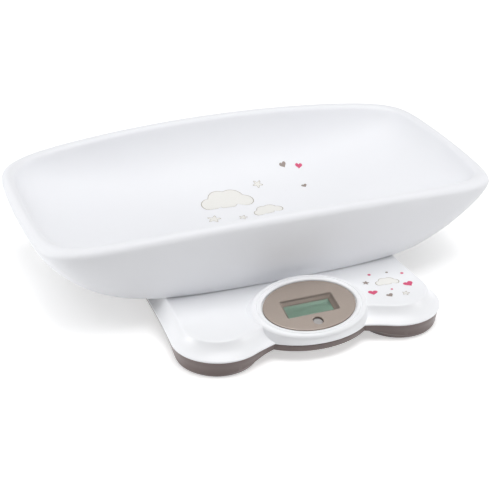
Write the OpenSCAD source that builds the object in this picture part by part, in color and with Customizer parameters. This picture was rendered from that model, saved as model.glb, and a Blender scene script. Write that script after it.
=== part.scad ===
// Digital baby scale: a lift-off moulded tray on a low four-lobed base with a tilted oval display.
// Millimetres. X runs along the tray, Y to the back, Z up. The origin is on the ground, under the
// middle of the whole footprint.

/* [Tray] */
// Overall length of the tray over its rim
tray_l = 572; // [560:2:590]
// Overall width of the tray over its rim
tray_w = 320; // [314:2:330]
// Distance of the tray's centre behind the origin
tray_y = 47; // [44:1:50]
// Thickness of the rolled rim
rim_d = 16; // [12:0.5:18]
// Height of the rim's middle line at the two ends
rim_z = 112.8; // [110:0.2:116]
// Extra height of the rim at the middle of the long sides
rim_crown = 14.5; // [10:0.5:18]
// How far the long sides bow outward between the corners
side_bow = 17.7; // [10:0.1:20]
// How far the short sides bow outward between the corners
end_bow = 8.5; // [4:0.5:10]
// Squareness of the rim's corners
rim_square = 9; // [6:0.5:10]
// Height of the skirt's lower edge above the ground
skirt_z = 39; // [39:0.2:40]
// How much higher the lower edge is under the overhanging ends
skirt_rise = 7.7; // [4:0.1:10]
// Length of the skirt along its lower edge
skirt_l = 480; // [470:2:490]
// Width of the skirt along its lower edge
skirt_w = 269; // [265:1:275]
// Squareness of the skirt's lower corners
skirt_square = 3.4; // [3:0.1:4]
// Height of the basin's lowest point
floor_z = 52; // [51:0.5:56]
// Wall thickness of the tray
tray_t = 3; // [2.6:0.1:3.2]
// Thickness of the ribs under the basin
rib_t = 2.2; // [1.8:0.1:3]

/* [Base] */
// Distance of each lobe's centre from the middle line
lobe_x = 107.8; // [105:0.1:110]
// Radius of the four lobes
lobe_r = 54.4; // [53:0.1:56]
// Place of the front lobes along Y
front_lobe_y = -152.6; // [-154:0.1:-150]
// Place of the rear lobes along Y
rear_lobe_y = 122.6; // [116:0.1:126]
// Half width of the base at its waist
waist_x = 157; // [155:0.5:158]
// Angle at which the front lobes turn into the notch between them
front_notch = 27; // [24:1:30]
// Angle at which the rear lobes turn into the notch between them
rear_notch = 20; // [16:1:24]
// Height of the parting line between the white and the brown shell
split_z = 21.5; // [21:0.5:22]
// Height of the base's top face
top_z = 38.7; // [38:0.1:38.8]
// Width of the hollow slope round the top face
shoulder_w = 15; // [12:0.5:16]
// How much further the slope leans back along the front
shoulder_lean = 5; // [3:0.5:6]
// Wall thickness of the shells
shell_t = 3; // [2.6:0.1:3.2]
// Height of the underside between the pods
belly_z = 13.5; // [13:0.5:14]
// Height of the pods' lower faces
pod_z = 2; // [1.6:0.2:2.4]

/* [Display] */
// Place of the panel's centre along Y
panel_y = -157.2; // [-158:0.2:-156]
// Height of the panel's centre
panel_z = 43; // [42.5:0.1:43.5]
// Tilt of the panel towards the user
panel_tilt = 14.3; // [13:0.1:15]
// Half length of the oval panel
panel_a = 55; // [54:0.5:56]
// Half width of the oval panel
panel_b = 38.8; // [38:0.2:40]
// Length of the window's mouth
window_l = 64.2; // [62:0.2:65]
// Width of the window's mouth
window_w = 28.9; // [28:0.1:30]
// Length of the visible glass at the bottom of the well
glass_l = 55; // [52:0.5:56]
// Width of the visible glass at the bottom of the well
glass_w = 20.6; // [19:0.1:22]
// Depth of the well
well_h = 6.4; // [6:0.1:6.6]
// Place of the button in front of the panel's centre
button_v = -25.5; // [-26:0.1:-25]
// Diameter of the button
button_d = 11.2; // [10:0.1:11.6]
// Travel of the button
button_travel = 0.7; // [0.3:0.1:0.7]

/* [Feet] */
// Diameter of the rubber pads
pad_d = 36; // [32:0.5:36]
// Thickness of the rubber pads
pad_t = 2.6; // [2.4:0.1:2.8]
// Diameter of the hole in each pod
foot_hole_d = 41.4; // [41:0.1:42]
// Side of the square load cells
cell_side = 34.4; // [32:0.2:34.4]
// Thickness of the load cells' steel
cell_t = 1.4; // [1:0.1:1.4]

/* [Batteries] */
// Diameter of a battery
battery_d = 14.2; // [14:0.1:14.4]
// Length of a battery without its nub
battery_l = 49.2; // [49:0.1:49.4]
// Inner length of the battery bay across the batteries
bay_l = 63; // [62.6:0.2:64]
// Inner width of the battery bay along the batteries
bay_w = 54; // [53.6:0.1:54.4]
// Place of the battery bay's front wall along Y
bay_y = 10; // [6:1:14]
// Thickness of the battery door
door_t = 2; // [1.8:0.1:2.2]

/* [Hidden] */
$fn = 48;

CORNERS = ["front_left", "front_right", "rear_left", "rear_right"];

// Tray, derived: the rim's middle line, the basin's inner edge and the steps of each ring
rim_r = rim_d / 2;
rim_a = tray_l / 2 - rim_r;
rim_b = tray_w / 2 - rim_r;
quarter_n = 20;
rim_turn = 160;
basin_edge = 77;
basin_steps = [2, 12, 22, 31, 40, 49, 57, 64, 71];
under_steps = [2, 22, 38, 50, 62, 71];
skirt_steps = [0.93, 0.8, 0.64, 0.48, 0.32, 0.16, 0.02];
skirt_inner_steps = [0.01, 0.3, 0.6, 0.86];
stud_x = 80;
stud_y = 65;
stud_r = 5.5;
stud_h = 5.5;
socket_r = 6;

// Base, derived
lobe_n = 14;
side_n = 4;
notch_n = 10;
oval_n = 72;
slope_steps = [[0, 0], [0.02, 0.06], [0.28, 0.19], [0.53, 0.39], [0.73, 0.64], [0.85, 0.88], [0.9, 0.96], [1, 1]];
screw_spots = [[62, -95], [-62, -95], [140, -15], [-140, -15], [40, 125], [-40, 125]];
screw_r = 1.5;
pod_corners = [[-lobe_x, front_lobe_y], [lobe_x, front_lobe_y], [-lobe_x, rear_lobe_y], [lobe_x, rear_lobe_y]];
pod_floor_z = pod_z + 2.6;
pod_sweep = [
    [lobe_r - 7.6, pod_z], [lobe_r - 5.8, pod_z + 0.7], [lobe_r - 4.2, pod_z + 2.2], [lobe_r - 2.2, pod_z + 4.6],
    [lobe_r + 0.2, pod_z + 7], [lobe_r + 3, pod_z + 9], [lobe_r + 6.1, pod_z + 10.4], [lobe_r + 9.6, pod_z + 11.3],
    [lobe_r + 16, belly_z + 0.2]
];

// Display, derived: heights are measured along the panel's normal, from its face
pod_a = 82;
pod_front_b = 68.5;
pod_back_b = 50;
pod_y = -138.2;
bezel_t = 2.6;
pocket_gap = 1.2;
well_wall = 1.6;
lens_h = -well_h - 0.2;
lens_t = 1;
lcd_l = 60;
lcd_w = 28;
lcd_t = 2.4;
board_h = -12.5;
board_t = 1.6;
board_l = 78;
board_front = -31;
board_back = 25;
post_spots = [[-34, -19], [34, -19], [-34, 19], [34, 19]];
switch_h = 2.6;
plunger_h = 0.5;
button_top_h = -2.4;
collar_r = button_d / 2 + 2.4;
collar_h = -3.6;
button_stem_h = board_h + switch_h + plunger_h + button_travel + 0.1;

// Feet, derived
cup_r = foot_hole_d / 2 - 0.6;
cup_z = 1.2;
flange_z = pod_floor_z + 0.45;
holder_z = 9;
cell_z = holder_z + 1.2;
ear_x = 27;

// Batteries, derived
battery_r = battery_d / 2;
battery_pitch = 15.3;
battery_z = belly_z + door_t + 0.4 + battery_r;
bay_top_z = 31;
bay_wall = 1.8;
door_gap = 0.4;
battery_total = battery_l + 1;
battery_shift = bay_w / 2 - 0.5 - battery_total / 2;
hook_spots = [-battery_pitch, battery_pitch];
hook_w = 4;
hinge_y = bay_y + bay_w - door_gap - door_t / 2;

// Leads, derived: the points that each left-hand lead follows from its load cell to the board
front_route = [[-101, -153, 14], [-94, -142, 17.6], [-78, -128, 19], [-56, -120, 20], [-36, -121, 24], [-24, -132, 29.5]];
rear_route = [
    [-101, 122, 14], [-92, 112, 17.6], [-74, 84, 18.4], [-58, 40, 18.4], [-56, -10, 18.4],
    [-50, -60, 18.4], [-42, -100, 19.4], [-26, -116, 24], [-14, -132, 30]
];
power_route = [
    [-34.4, 46, 24], [-38, 40, 23.6], [-43, 10, 20], [-42, -40, 18.4], [-30, -90, 19], [-10, -114, 24], [-4, -132, 30.4]
];
lead_r = 1.1;

// Shared functions and modules

// Points of an arc round c, without its last point
function arc(c, r, from, to, n) =
    [for (i = [0 : n - 1]) let (a = from + (to - from) * i / n) c + r * [cos(a), sin(a)]];

function at_height(points, z) = [for (p = points) [p[0], p[1], z]];

// Points of an oval whose front and back halves may differ in width
function oval(a, front_b, back_b, y = 0) =
    [for (i = [0 : oval_n - 1]) let (t = 360 * i / oval_n) [a * cos(t), y + (sin(t) < 0 ? front_b : back_b) * sin(t)]];

// A closed skin through rings of equal count, each counter-clockwise seen from the last one
module loft(rings) {
    n = len(rings[0]);
    m = len(rings);
    polyhedron(
        points = [for (ring = rings) each ring],
        faces = concat(
            [[for (i = [0 : n - 1]) i]],
            [
                for (k = [0 : m - 2], i = [0 : n - 1])
                    let (a = k * n + i, b = k * n + (i + 1) % n)
                        each [[a, a + n, b + n], [a, b + n, b]]
            ],
            [[for (i = [n - 1 : -1 : 0]) (m - 1) * n + i]]
        ),
        convexity = 8
    );
}

// One step of a smooth curve through four points
function spline_point(a, b, c, d, t) =
    0.5 * (2 * b + (c - a) * t + (2 * a - 5 * b + 4 * c - d) * t * t + (3 * b - a - 3 * c + d) * t * t * t);

// A route with one more point between each pair
function smooth_route(p) =
    let (n = len(p))
        concat(
            [for (i = [0 : n - 2]) each [p[i], spline_point(p[max(i - 1, 0)], p[i], p[i + 1], p[min(i + 2, n - 1)], 0.5)]],
            [p[n - 1]]
        );

// A round lead along a route
module lead(route, r) {
    p = smooth_route(route);
    n = len(p);
    loft([
        for (i = [0 : n - 1])
            let (
                d = p[min(i + 1, n - 1)] - p[max(i - 1, 0)],
                side = cross([0, 0, 1], d) / norm(cross([0, 0, 1], d)),
                rise = cross(d, side) / norm(d)
            )
                [for (k = [0 : 5]) p[i] + r * (cos(60 * k) * side + sin(60 * k) * rise)]
    ]);
}

function mirrored(route) = [for (p = route) [-p[0], p[1], p[2]]];

// A plate with round corners, standing on the plane z = 0
module round_plate(l, w, t, r) {
    linear_extrude(t)
        union() {
            square([l - 2 * r, w], center = true);
            square([l, w - 2 * r], center = true);
            for (x = [-1, 1], y = [-1, 1])
                translate([x * (l / 2 - r), y * (w / 2 - r)]) circle(r);
        }
}

// Joins crossing skins into one faceted skin
module one_skin() {
    resize([0, 0, 0]) union() children();
}

module ring_tube(outer_r, inner_r, h) {
    difference() {
        cylinder(r = outer_r, h = h);
        translate([0, 0, -1]) cylinder(r = inner_r, h = h + 2);
    }
}

// Tray

// Height of the rim's middle line at x
function rim_height(x) = rim_z + rim_crown * (1 - pow(x / rim_a, 2));

// Height of the skirt's lower edge at x
function edge_height(x) = skirt_z + skirt_rise * pow(max(0, abs(x) - 150) / 100, 2);

// Angles round the outline, closer together in the corners
function outline_angles() = [
    for (q = [0 : 3], i = [0 : quarter_n - 1])
        let (t = 2 * i / quarter_n - 1)
            90 * q + 45 + 45 * t * (0.45 + 0.55 * t * t)
];

// One point of a bowed, rounded oblong with half sizes a and b
function oblong_point(angle, a, b, square_n, long_bow, short_bow) =
    let (
        c = cos(angle),
        s = sin(angle),
        k = pow(pow(abs(c), square_n) + pow(abs(s), square_n), -1 / square_n),
        u = k * c,
        w = k * s
    )
        [u * (a - short_bow * w * w), w * (b - long_bow * u * u)];

function oblong(a, b, square_n, long_bow, short_bow) =
    [for (angle = outline_angles()) oblong_point(angle, a, b, square_n, long_bow, short_bow)];

// Ring of the rolled rim at an angle round its bead, 0 outermost and 90 on top
function bead_ring(turn) =
    [
        for (p = oblong(rim_a + rim_r * cos(turn), rim_b + rim_r * cos(turn), rim_square, side_bow, end_bow))
            [p[0], p[1] + tray_y, rim_height(p[0]) + rim_r * sin(turn)]
    ];

// Half length, half width and corner squareness of the basin at angle phi
function basin_size(phi) =
    let (s = sin(phi) / sin(basin_edge))
        [
            (rim_a + rim_r * cos(rim_turn)) * pow(s, 0.5),
            (rim_b + rim_r * cos(rim_turn)) * pow(s, 0.667),
            3 + (rim_square - 3) * pow(s, 4)
        ];

// Ring of the skirt at a share of its height, moved inward by inset
function skirt_ring(share, inset) =
    let (
        swell = 1 - pow(1 - share, 1.4),
        a = skirt_l / 2 + (tray_l - skirt_l) / 2 * swell - inset,
        b = skirt_w / 2 + (tray_w - skirt_w) / 2 * swell - inset,
        square_n = skirt_square + (rim_square - skirt_square) * share
    )
        [
            for (p = oblong(a, b, square_n, side_bow * (0.3 + 0.7 * share), end_bow * share))
                let (low = edge_height(p[0]))
                    [p[0], p[1] + tray_y, low + (rim_height(p[0]) - low) * share]
        ];

// Height of the basin's surface on the ring at angle phi
function basin_height(phi, x) =
    let (edge = rim_height(x) + rim_r * sin(rim_turn))
        phi < 3 ? floor_z : floor_z + (edge - floor_z) * (1 - cos(phi)) / (1 - cos(basin_edge));

// Ring of the basin: phi is 0 at the middle of the floor and largest at the rim
function basin_ring(phi, drop) =
    let (size = basin_size(phi), bow = pow(sin(phi) / sin(basin_edge), 2))
        [
            for (p = oblong(size[0] + drop, size[1] + drop, size[2], side_bow * bow, end_bow * bow))
                [p[0], p[1] + tray_y, basin_height(phi, p[0]) - drop]
        ];

// How far outside the basin's ring at phi the point lies: below 1 is inside
function basin_reach(phi, x, y) =
    let (size = basin_size(phi))
        pow(abs(x) / size[0], size[2]) + pow(abs(y) / size[1], size[2]);

// Basin angle under the point, found by halving
function basin_angle(x, y, low = 2, high = 76, n = 12) =
    n == 0 ? (low + high) / 2
        : let (mid = (low + high) / 2)
            basin_reach(mid, x, y) > 1 ? basin_angle(x, y, mid, high, n - 1) : basin_angle(x, y, low, mid, n - 1);

// Height of the basin's upper face over a point measured from the tray's centre
function basin_z(x, y) = basin_height(basin_angle(x, y), x);

// A rib whose top follows the basin's underside, from one point to another
module basin_rib(from, to) {
    n = 12;
    length = norm(to - from);
    turn = atan2(to[1] - from[1], to[0] - from[0]);
    top = [
        for (i = [n : -1 : 0])
            let (p = from + (to - from) * i / n)
                [length * i / n, basin_z(p[0], p[1]) - tray_t / 2]
    ];
    translate([from[0], from[1] + tray_y, 0])
        rotate([0, 0, turn])
            rotate([90, 0, 0])
                translate([0, 0, -rib_t / 2])
                    linear_extrude(rib_t)
                        polygon(concat([[0, skirt_z + 2.5], [length, skirt_z + 2.5]], top));
}

module tray_shell() {
    loft(concat(
        [for (phi = under_steps) basin_ring(phi, tray_t)],
        [for (i = [len(skirt_inner_steps) - 1 : -1 : 0]) skirt_ring(skirt_inner_steps[i], tray_t)],
        [skirt_ring(0, 0.8)],
        [for (i = [len(skirt_steps) - 1 : -1 : 0]) skirt_ring(skirt_steps[i], 0)],
        [for (turn = [0 : 20 : rim_turn]) bead_ring(turn)],
        [for (i = [len(basin_steps) - 1 : -1 : 0]) basin_ring(basin_steps[i], 0)]
    ));
}

module tray() {
    color("white") {
        difference() {
            union() {
                tray_shell();
                for (y = [-75, -25, 25, 75]) basin_rib([-212, y], [212, y]);
                for (x = [-200 : 50 : 200]) basin_rib([x, -104], [x, 104]);
                for (x = [-1, 1], y = [-1, 1])
                    translate([x * stud_x, tray_y + y * stud_y, skirt_z + 1])
                        cylinder(r = socket_r + 2.4, h = basin_z(stud_x, stud_y) - skirt_z - 1 - tray_t / 2);
            }
            for (x = [-1, 1], y = [-1, 1])
                translate([x * stud_x, tray_y + y * stud_y, skirt_z])
                    cylinder(r = socket_r, h = stud_h + 1.5);
        }
    }
}

// Base

// Outline of the base seen from above, moved inward by inset; lean moves the front lobes back
function base_outline(inset, lean = 0) =
    let (
        front_y = front_lobe_y + lean,
        r = lobe_r - inset,
        mid_y = (front_y + rear_lobe_y) / 2,
        half = (rear_lobe_y - front_y) / 2,
        w = waist_x - lobe_x,
        side_r = (w * w + half * half - lobe_r * lobe_r) / (2 * (lobe_r - w)),
        b = atan2(half, w + side_r),
        front_r = lobe_x / sin(front_notch) - lobe_r,
        rear_r = lobe_x / sin(rear_notch) - lobe_r,
        front_c = [0, front_y - (front_r + lobe_r) * cos(front_notch)],
        rear_c = [0, rear_lobe_y + (rear_r + lobe_r) * cos(rear_notch)]
    )
        concat(
            arc([lobe_x, front_y], r, 270 - front_notch, 360 + b, lobe_n),
            arc([waist_x + side_r, mid_y], side_r + inset, 180 + b, 180 - b, side_n),
            arc([lobe_x, rear_lobe_y], r, -b, 90 + rear_notch, lobe_n),
            arc(rear_c, rear_r + inset, 270 + rear_notch, 270 - rear_notch, notch_n),
            arc([-lobe_x, rear_lobe_y], r, 90 - rear_notch, 180 + b, lobe_n),
            arc([-waist_x - side_r, mid_y], side_r + inset, b, -b, side_n),
            arc([-lobe_x, front_y], r, 180 - b, 270 + front_notch, lobe_n),
            arc(front_c, front_r + inset, 90 + front_notch, 90 - front_notch, notch_n)
        );

// A point given along the panel: right, back and out of its face
function panel_point(u, v, h) = [
    u,
    panel_y + v * cos(panel_tilt) - h * sin(panel_tilt),
    panel_z + v * sin(panel_tilt) + h * cos(panel_tilt)
];

module on_panel() {
    translate([0, panel_y, panel_z]) rotate([panel_tilt, 0, 0]) children();
}

// Ring round the panel, wider than its edge by grow_a and grow_b
function panel_ring(grow_a, grow_b, h) =
    [for (p = oval(panel_a + grow_a, panel_b + grow_b, panel_b + grow_b)) panel_point(p[0], p[1], h)];

module base_body() {
    foot = split_z + 0.8;
    loft(concat(
        [at_height(base_outline(0.6), split_z)],
        [
            for (step = slope_steps)
                at_height(
                    base_outline(shoulder_w * step[0], shoulder_lean * step[0]),
                    foot + (top_z - foot) * step[1]
                )
        ]
    ));
}

// The raised oval that carries the display: its side rises from the base's foot to a rounded lip
module display_pod() {
    loft([
        at_height(oval(pod_a - 0.6, pod_front_b - 0.6, pod_back_b, pod_y), split_z),
        at_height(oval(pod_a, pod_front_b, pod_back_b, pod_y), split_z + 0.8),
        panel_ring(15, 11, -4.2),
        panel_ring(13.6, 10.8, -1.6),
        panel_ring(11.4, 9.8, 0),
        panel_ring(8.4, 7.8, 0.9),
        panel_ring(5, 4.9, 1.1),
        panel_ring(2.6, 2.6, 0.7),
        panel_ring(0.6, 0.6, -0.2)
    ]);
}

module oval_prism(a, b, low, high) {
    translate([0, 0, low]) linear_extrude(high - low) polygon(oval(a, b, b));
}

module top_boss(spot) {
    translate([spot[0], spot[1], belly_z + 5.5]) ring_tube(3.8, screw_r + 0.05, top_z - belly_z - 7);
}

module top_housing() {
    color("white") {
        difference() {
            one_skin() {
                base_body();
                display_pod();
            }
            translate([0, 0, split_z - 1]) linear_extrude(9) polygon(base_outline(shell_t + 1, 1));
            translate([0, 0, split_z - 1]) linear_extrude(top_z - shell_t - split_z + 1) polygon(base_outline(12, 6));
            on_panel() {
                oval_prism(panel_a + pocket_gap, panel_b + pocket_gap, -bezel_t, 20);
                oval_prism(panel_a - 4, panel_b - 4, -24, 0);
                oval_prism(panel_a + 5, panel_b + 5, -32, -bezel_t - shell_t);
            }
        }
        for (spot = screw_spots) top_boss(spot);
        for (x = [-1, 1], y = [-1, 1])
            translate([x * stud_x, tray_y + y * stud_y, top_z - 1])
                rotate_extrude()
                    polygon([[0, 0], [stud_r, 0], [stud_r, stud_h], [stud_r - 1, stud_h + 1], [0, stud_h + 1]]);
    }
}

// Foot pods whose sides sweep up into the belly between them
module pod_sweeps() {
    for (c = pod_corners)
        translate([c[0], c[1], 0])
            rotate_extrude()
                polygon(concat([[0, pod_z]], pod_sweep, [[lobe_r + 16, belly_z + 3], [0, belly_z + 3]]));
}

module pod_hollow() {
    rotate_extrude($fn = 96)
        polygon([
            [0, pod_floor_z], [lobe_r - 7.6, pod_floor_z], [lobe_r - 6.6, pod_floor_z + 2],
            [lobe_r - 5, split_z - 4], [lobe_r - 5, split_z + 1], [0, split_z + 1]
        ]);
}

// The lower shell's outside: a belly under both outlines, and the pods cut off at the base's side
module lower_skin() {
    insets = [[7, 0], [4, 0.7], [2.6, 2.2], [1.7, split_z - belly_z]];
    side = [[7.6, pod_z], [5.6, pod_z + 0.7], [4.5, pod_z + 2], [3.8, pod_z + 4.5], [2.1, split_z - 4], [2, split_z - 2]];
    one_skin() {
        loft([for (step = insets) at_height(base_outline(step[0]), belly_z + step[1])]);
        loft([
            for (step = insets)
                at_height(
                    oval(pod_a - step[0], pod_front_b - step[0], pod_back_b - step[0], pod_y),
                    belly_z + step[1]
                )
        ]);
        intersection() {
            loft([for (step = side) at_height(base_outline(step[0]), step[1])]);
            pod_sweeps();
        }
    }
}

module screw_cup(spot) {
    translate([spot[0], spot[1], belly_z]) cylinder(r = 6, h = 5.5);
}

module screw_cut(spot) {
    translate([spot[0], spot[1], belly_z - 1]) {
        cylinder(r = 3.8, h = 4);
        cylinder(r = screw_r + 0.2, h = 8);
    }
}

module battery_bay_walls() {
    translate([-bay_l / 2 - bay_wall, bay_y - bay_wall, belly_z + 0.5])
        cube([bay_l + 2 * bay_wall, bay_w + 2 * bay_wall, bay_top_z + bay_wall - belly_z - 0.5]);
}

module battery_bay_cut() {
    translate([-bay_l / 2, bay_y, belly_z - 1]) cube([bay_l, bay_w, bay_top_z - belly_z + 1]);
    for (x = hook_spots)
        translate([x - hook_w / 2 - 0.5, bay_y + bay_w - 1, belly_z + 2.5]) cube([hook_w + 1, 4, 3.4]);
    translate([0, bay_y + 1, belly_z - 10.6]) rotate([0, 90, 0]) cylinder(r = 12, h = 20, center = true);
}

module bottom_housing() {
    color("#61564f") {
        difference() {
            union() {
                difference() {
                    lower_skin();
                    translate([0, 0, belly_z + 2.5]) linear_extrude(10) polygon(base_outline(4.6));
                    translate([0, 0, belly_z + 2.5])
                        linear_extrude(10) polygon(oval(pod_a - 4.6, pod_front_b - 4.6, pod_back_b - 4.6, pod_y));
                    for (c = pod_corners) translate([c[0], c[1], 0]) pod_hollow();
                }
                for (spot = screw_spots) screw_cup(spot);
                battery_bay_walls();
                for (c = pod_corners, x = [-ear_x, ear_x])
                    translate([c[0] + x, c[1], pod_floor_z - 0.5]) cylinder(r = 3.2, h = holder_z - pod_floor_z + 0.5);
            }
            for (spot = screw_spots) screw_cut(spot);
            for (c = pod_corners) {
                translate([c[0], c[1], -1]) cylinder(d = foot_hole_d, h = 8);
                for (x = [-ear_x, ear_x]) translate([c[0] + x, c[1], pod_floor_z]) cylinder(r = 1.05, h = 8);
            }
            battery_bay_cut();
        }
    }
}

// Display

function rectangle(l, w) = [[-l / 2, -w / 2], [l / 2, -w / 2], [l / 2, w / 2], [-l / 2, w / 2]];

module display_bezel() {
    color("#93897f")
        on_panel()
            difference() {
                union() {
                    oval_prism(panel_a, panel_b, -bezel_t, 0);
                    loft([
                        at_height(rectangle(glass_l + 2 * well_wall, glass_w + 2 * well_wall), -well_h),
                        at_height(rectangle(window_l + 2 * well_wall, window_w + 2 * well_wall), -bezel_t + 0.5)
                    ]);
                    translate([0, 0, -well_h - 0.2])
                        linear_extrude(1.4) square([lcd_l + 3, lcd_w + 2.8], center = true);
                    for (spot = post_spots)
                        translate([spot[0], spot[1], board_h]) cylinder(r = 2.8, h = -board_h - 1);
                    translate([0, button_v, collar_h]) cylinder(r = collar_r, h = -collar_h - 1);
                }
                loft([
                    at_height(rectangle(glass_l, glass_w), -well_h - 1),
                    at_height(rectangle(glass_l, glass_w), -well_h),
                    at_height(rectangle(window_l, window_w), 0),
                    at_height(rectangle(window_l, window_w), 1)
                ]);
                translate([0, button_v, -6]) cylinder(r = button_d / 2 + 0.4, h = 8);
                for (spot = post_spots) translate([spot[0], spot[1], board_h - 1]) cylinder(r = 1.05, h = 7.5);
            }
}

module display_lens() {
    color([0.85, 0.9, 0.9, 0.4])
        on_panel()
            translate([0, 0, lens_h - lens_t]) linear_extrude(lens_t) square([lcd_l, lcd_w], center = true);
}

module lcd_panel() {
    glass_z = lens_h - lens_t - lcd_t;
    color("#798a7e")
        on_panel() {
            translate([0, 0, glass_z]) linear_extrude(lcd_t / 2) square([lcd_l, lcd_w], center = true);
            translate([0, 0, glass_z + lcd_t / 2])
                linear_extrude(lcd_t / 2) square([lcd_l, lcd_w - 4], center = true);
        }
}

module lcd_frame() {
    color("#d8d8d4")
        on_panel()
            difference() {
                translate([0, 0, board_h]) linear_extrude(lens_h - board_h) square([lcd_l + 3, lcd_w + 2.8], center = true);
                translate([0, 0, board_h - 1])
                    linear_extrude(lens_h - board_h + 2) square([lcd_l + 0.2, lcd_w + 0.2], center = true);
            }
}

module elastomer_strips() {
    h = lens_h - lens_t - lcd_t - board_h;
    color("#e8a0b4")
        on_panel()
            for (v = [-1, 1])
                translate([0, v * (lcd_w / 2 - 1.6), board_h]) linear_extrude(h) square([lcd_l - 4, 2], center = true);
}

module main_board() {
    color("#2f6b43")
        on_panel()
            difference() {
                translate([-board_l / 2, board_front, board_h - board_t])
                    cube([board_l, board_back - board_front, board_t]);
                for (spot = post_spots)
                    translate([spot[0], spot[1], board_h - board_t - 1]) cylinder(r = 1.2, h = board_t + 2);
            }
}

module board_parts() {
    low = board_h - board_t;
    on_panel() {
        color("#1d1d1f")
            translate([0, -2, low - 1.8])
                rotate_extrude() polygon([[0, 0], [4, 0.2], [7, 0.9], [8, 1.8], [0, 1.8]]);
        color("#1d1d1f") translate([16, -12, low - 1.6]) cube([5, 4, 1.6]);
        color("#9a7b3c") for (x = [-24, -20, 24]) translate([x, -14, low - 1]) cube([2.4, 1.4, 1]);
        color("#c9ccd0") translate([-20, 8, low - 3.6]) rotate([-90, 0, 0]) cylinder(r = 1.5, h = 6);
        color("ivory") translate([-28, 16, low - 3.2]) cube([56, 5, 3.2]);
    }
}

module tact_switch() {
    on_panel()
        translate([0, button_v, board_h]) {
            color("#222222") translate([-3.1, -3.1, 0]) cube([6.2, 6.2, switch_h]);
            color("#c9ccd0") translate([0, 0, switch_h]) cylinder(r = 1.7, h = plunger_h);
        }
}

module power_button() {
    r = button_d / 2;
    low = button_stem_h;
    color("#a3a09f")
        on_panel()
            translate([0, button_v, 0])
                rotate_extrude()
                    polygon([
                        [0, low], [2.2, low], [2.2, collar_h - 1.2], [r + 1.6, collar_h - 1.2],
                        [r + 1.6, collar_h - 0.3], [r, collar_h - 0.3], [r, button_top_h - 0.7],
                        [r - 0.25, button_top_h - 0.35],
                        [r - 0.8, button_top_h - 0.15], [r * 0.6, button_top_h - 0.35], [0, button_top_h - 0.5]
                    ]);
}

// Batteries

module battery(index) {
    x = (index - 2.5) * battery_pitch;
    way = index % 2 == 0 ? 0 : 180;
    color("#3b4147")
        translate([x, bay_y + bay_w / 2, battery_z])
            rotate([0, 0, way])
                rotate([90, 0, 0])
                    translate([0, 0, battery_shift - battery_total / 2])
                        rotate_extrude()
                            polygon([
                                [0, 0], [battery_r - 0.6, 0], [battery_r, 0.6], [battery_r, battery_l - 0.8],
                                [battery_r - 0.8, battery_l], [2.7, battery_l], [2.7, battery_l + 1], [0, battery_l + 1]
                            ]);
}

// The side of the bay that a battery's flat end faces: 1 is the back
function flat_side(index) = index % 2 == 0 ? 1 : -1;

// A bent leaf that presses on a battery's flat end
module contact_leaf(index) {
    side = flat_side(index);
    x = (index - 2.5) * battery_pitch;
    wall_y = bay_y + bay_w / 2 + side * bay_w / 2;
    translate([x, wall_y, battery_z])
        rotate([0, 0, side > 0 ? 180 : 0])
            rotate([90, 0, 90])
                translate([0, 0, -4])
                    linear_extrude(8)
                        polygon([
                            [0.05, -6], [0.45, -6], [0.45, 4.4], [2.9, 0.2], [3.2, 0.2], [3.2, 0.8], [0.5, 6], [0.05, 6]
                        ]);
}

module battery_springs() {
    color("#c9ccd0") for (index = [1 : 4]) contact_leaf(index);
}

module battery_plates() {
    color("#c9ccd0")
        for (index = [1 : 4]) {
            side = -flat_side(index);
            y = bay_y + bay_w / 2 + side * (bay_w / 2 - 0.25);
            translate([(index - 2.5) * battery_pitch - 4, y - 0.2, battery_z - 5]) cube([8, 0.4, 10]);
        }
}

module battery_door() {
    l = bay_l - 2 * door_gap;
    back_y = bay_y + bay_w - door_gap;
    color("#61564f") {
        difference() {
            translate([-l / 2, bay_y + door_gap, belly_z]) cube([l, hinge_y - bay_y - door_gap, door_t]);
            for (i = [0 : 4])
                translate([-9, bay_y + 4 + 2.4 * i, belly_z - 0.6]) rotate([0, 90, 0]) cylinder(r = 1, h = 18);
        }
        translate([-l / 2, hinge_y, belly_z + door_t / 2]) rotate([0, 90, 0]) cylinder(d = door_t, h = l);
        for (x = hook_spots) {
            translate([x - hook_w / 2, back_y - 2.4, belly_z + 0.5]) cube([hook_w, 2, 3.2]);
            translate([x - hook_w / 2, back_y - 2.4, belly_z + 2.8]) cube([hook_w, 4.6, 0.9]);
        }
        translate([-3, bay_y + door_gap, belly_z + 0.5]) cube([6, 1.6, 3.5]);
    }
}

// Feet

module foot_pad(c) {
    r = pad_d / 2;
    color("#3c3836")
        translate([c[0], c[1], 0])
            rotate_extrude()
                polygon([[0, 0], [r - 1, 0], [r - 0.3, 0.3], [r, 1], [r, pad_t], [0, pad_t]]);
}

module foot_cup(c) {
    r = cup_r;
    color("#5a504a")
        translate([c[0], c[1], 0])
            rotate_extrude()
                polygon([
                    [0, pad_t], [pad_d / 2 + 0.1, pad_t], [pad_d / 2 + 0.1, cup_z], [r - 0.6, cup_z], [r, cup_z + 0.6],
                    [r, flange_z], [r + 1.9, flange_z], [r + 1.9, flange_z + 1.2], [r - 3, flange_z + 1.2],
                    [r - 4, pad_t + 1.6], [6, pad_t + 1.6], [5, cell_z], [0, cell_z]
                ]);
}

module cell_holder(c) {
    color("#d9d6cf")
        translate([c[0], c[1], holder_z])
            difference() {
                union() {
                    round_plate(cell_side + 9, cell_side + 9, 4.2, 3);
                    for (x = [-ear_x, ear_x]) translate([x, 0, 0]) cylinder(r = 4, h = 2.2);
                    translate([-ear_x, -4, 0]) cube([2 * ear_x, 8, 2.2]);
                }
                translate([0, 0, -1]) linear_extrude(8) square(cell_side - 6, center = true);
                translate([0, 0, 1.2]) linear_extrude(8) square(cell_side + 0.2, center = true);
                for (x = [-ear_x, ear_x]) translate([x, 0, -1]) cylinder(r = 1.25, h = 5);
            }
}

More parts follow.
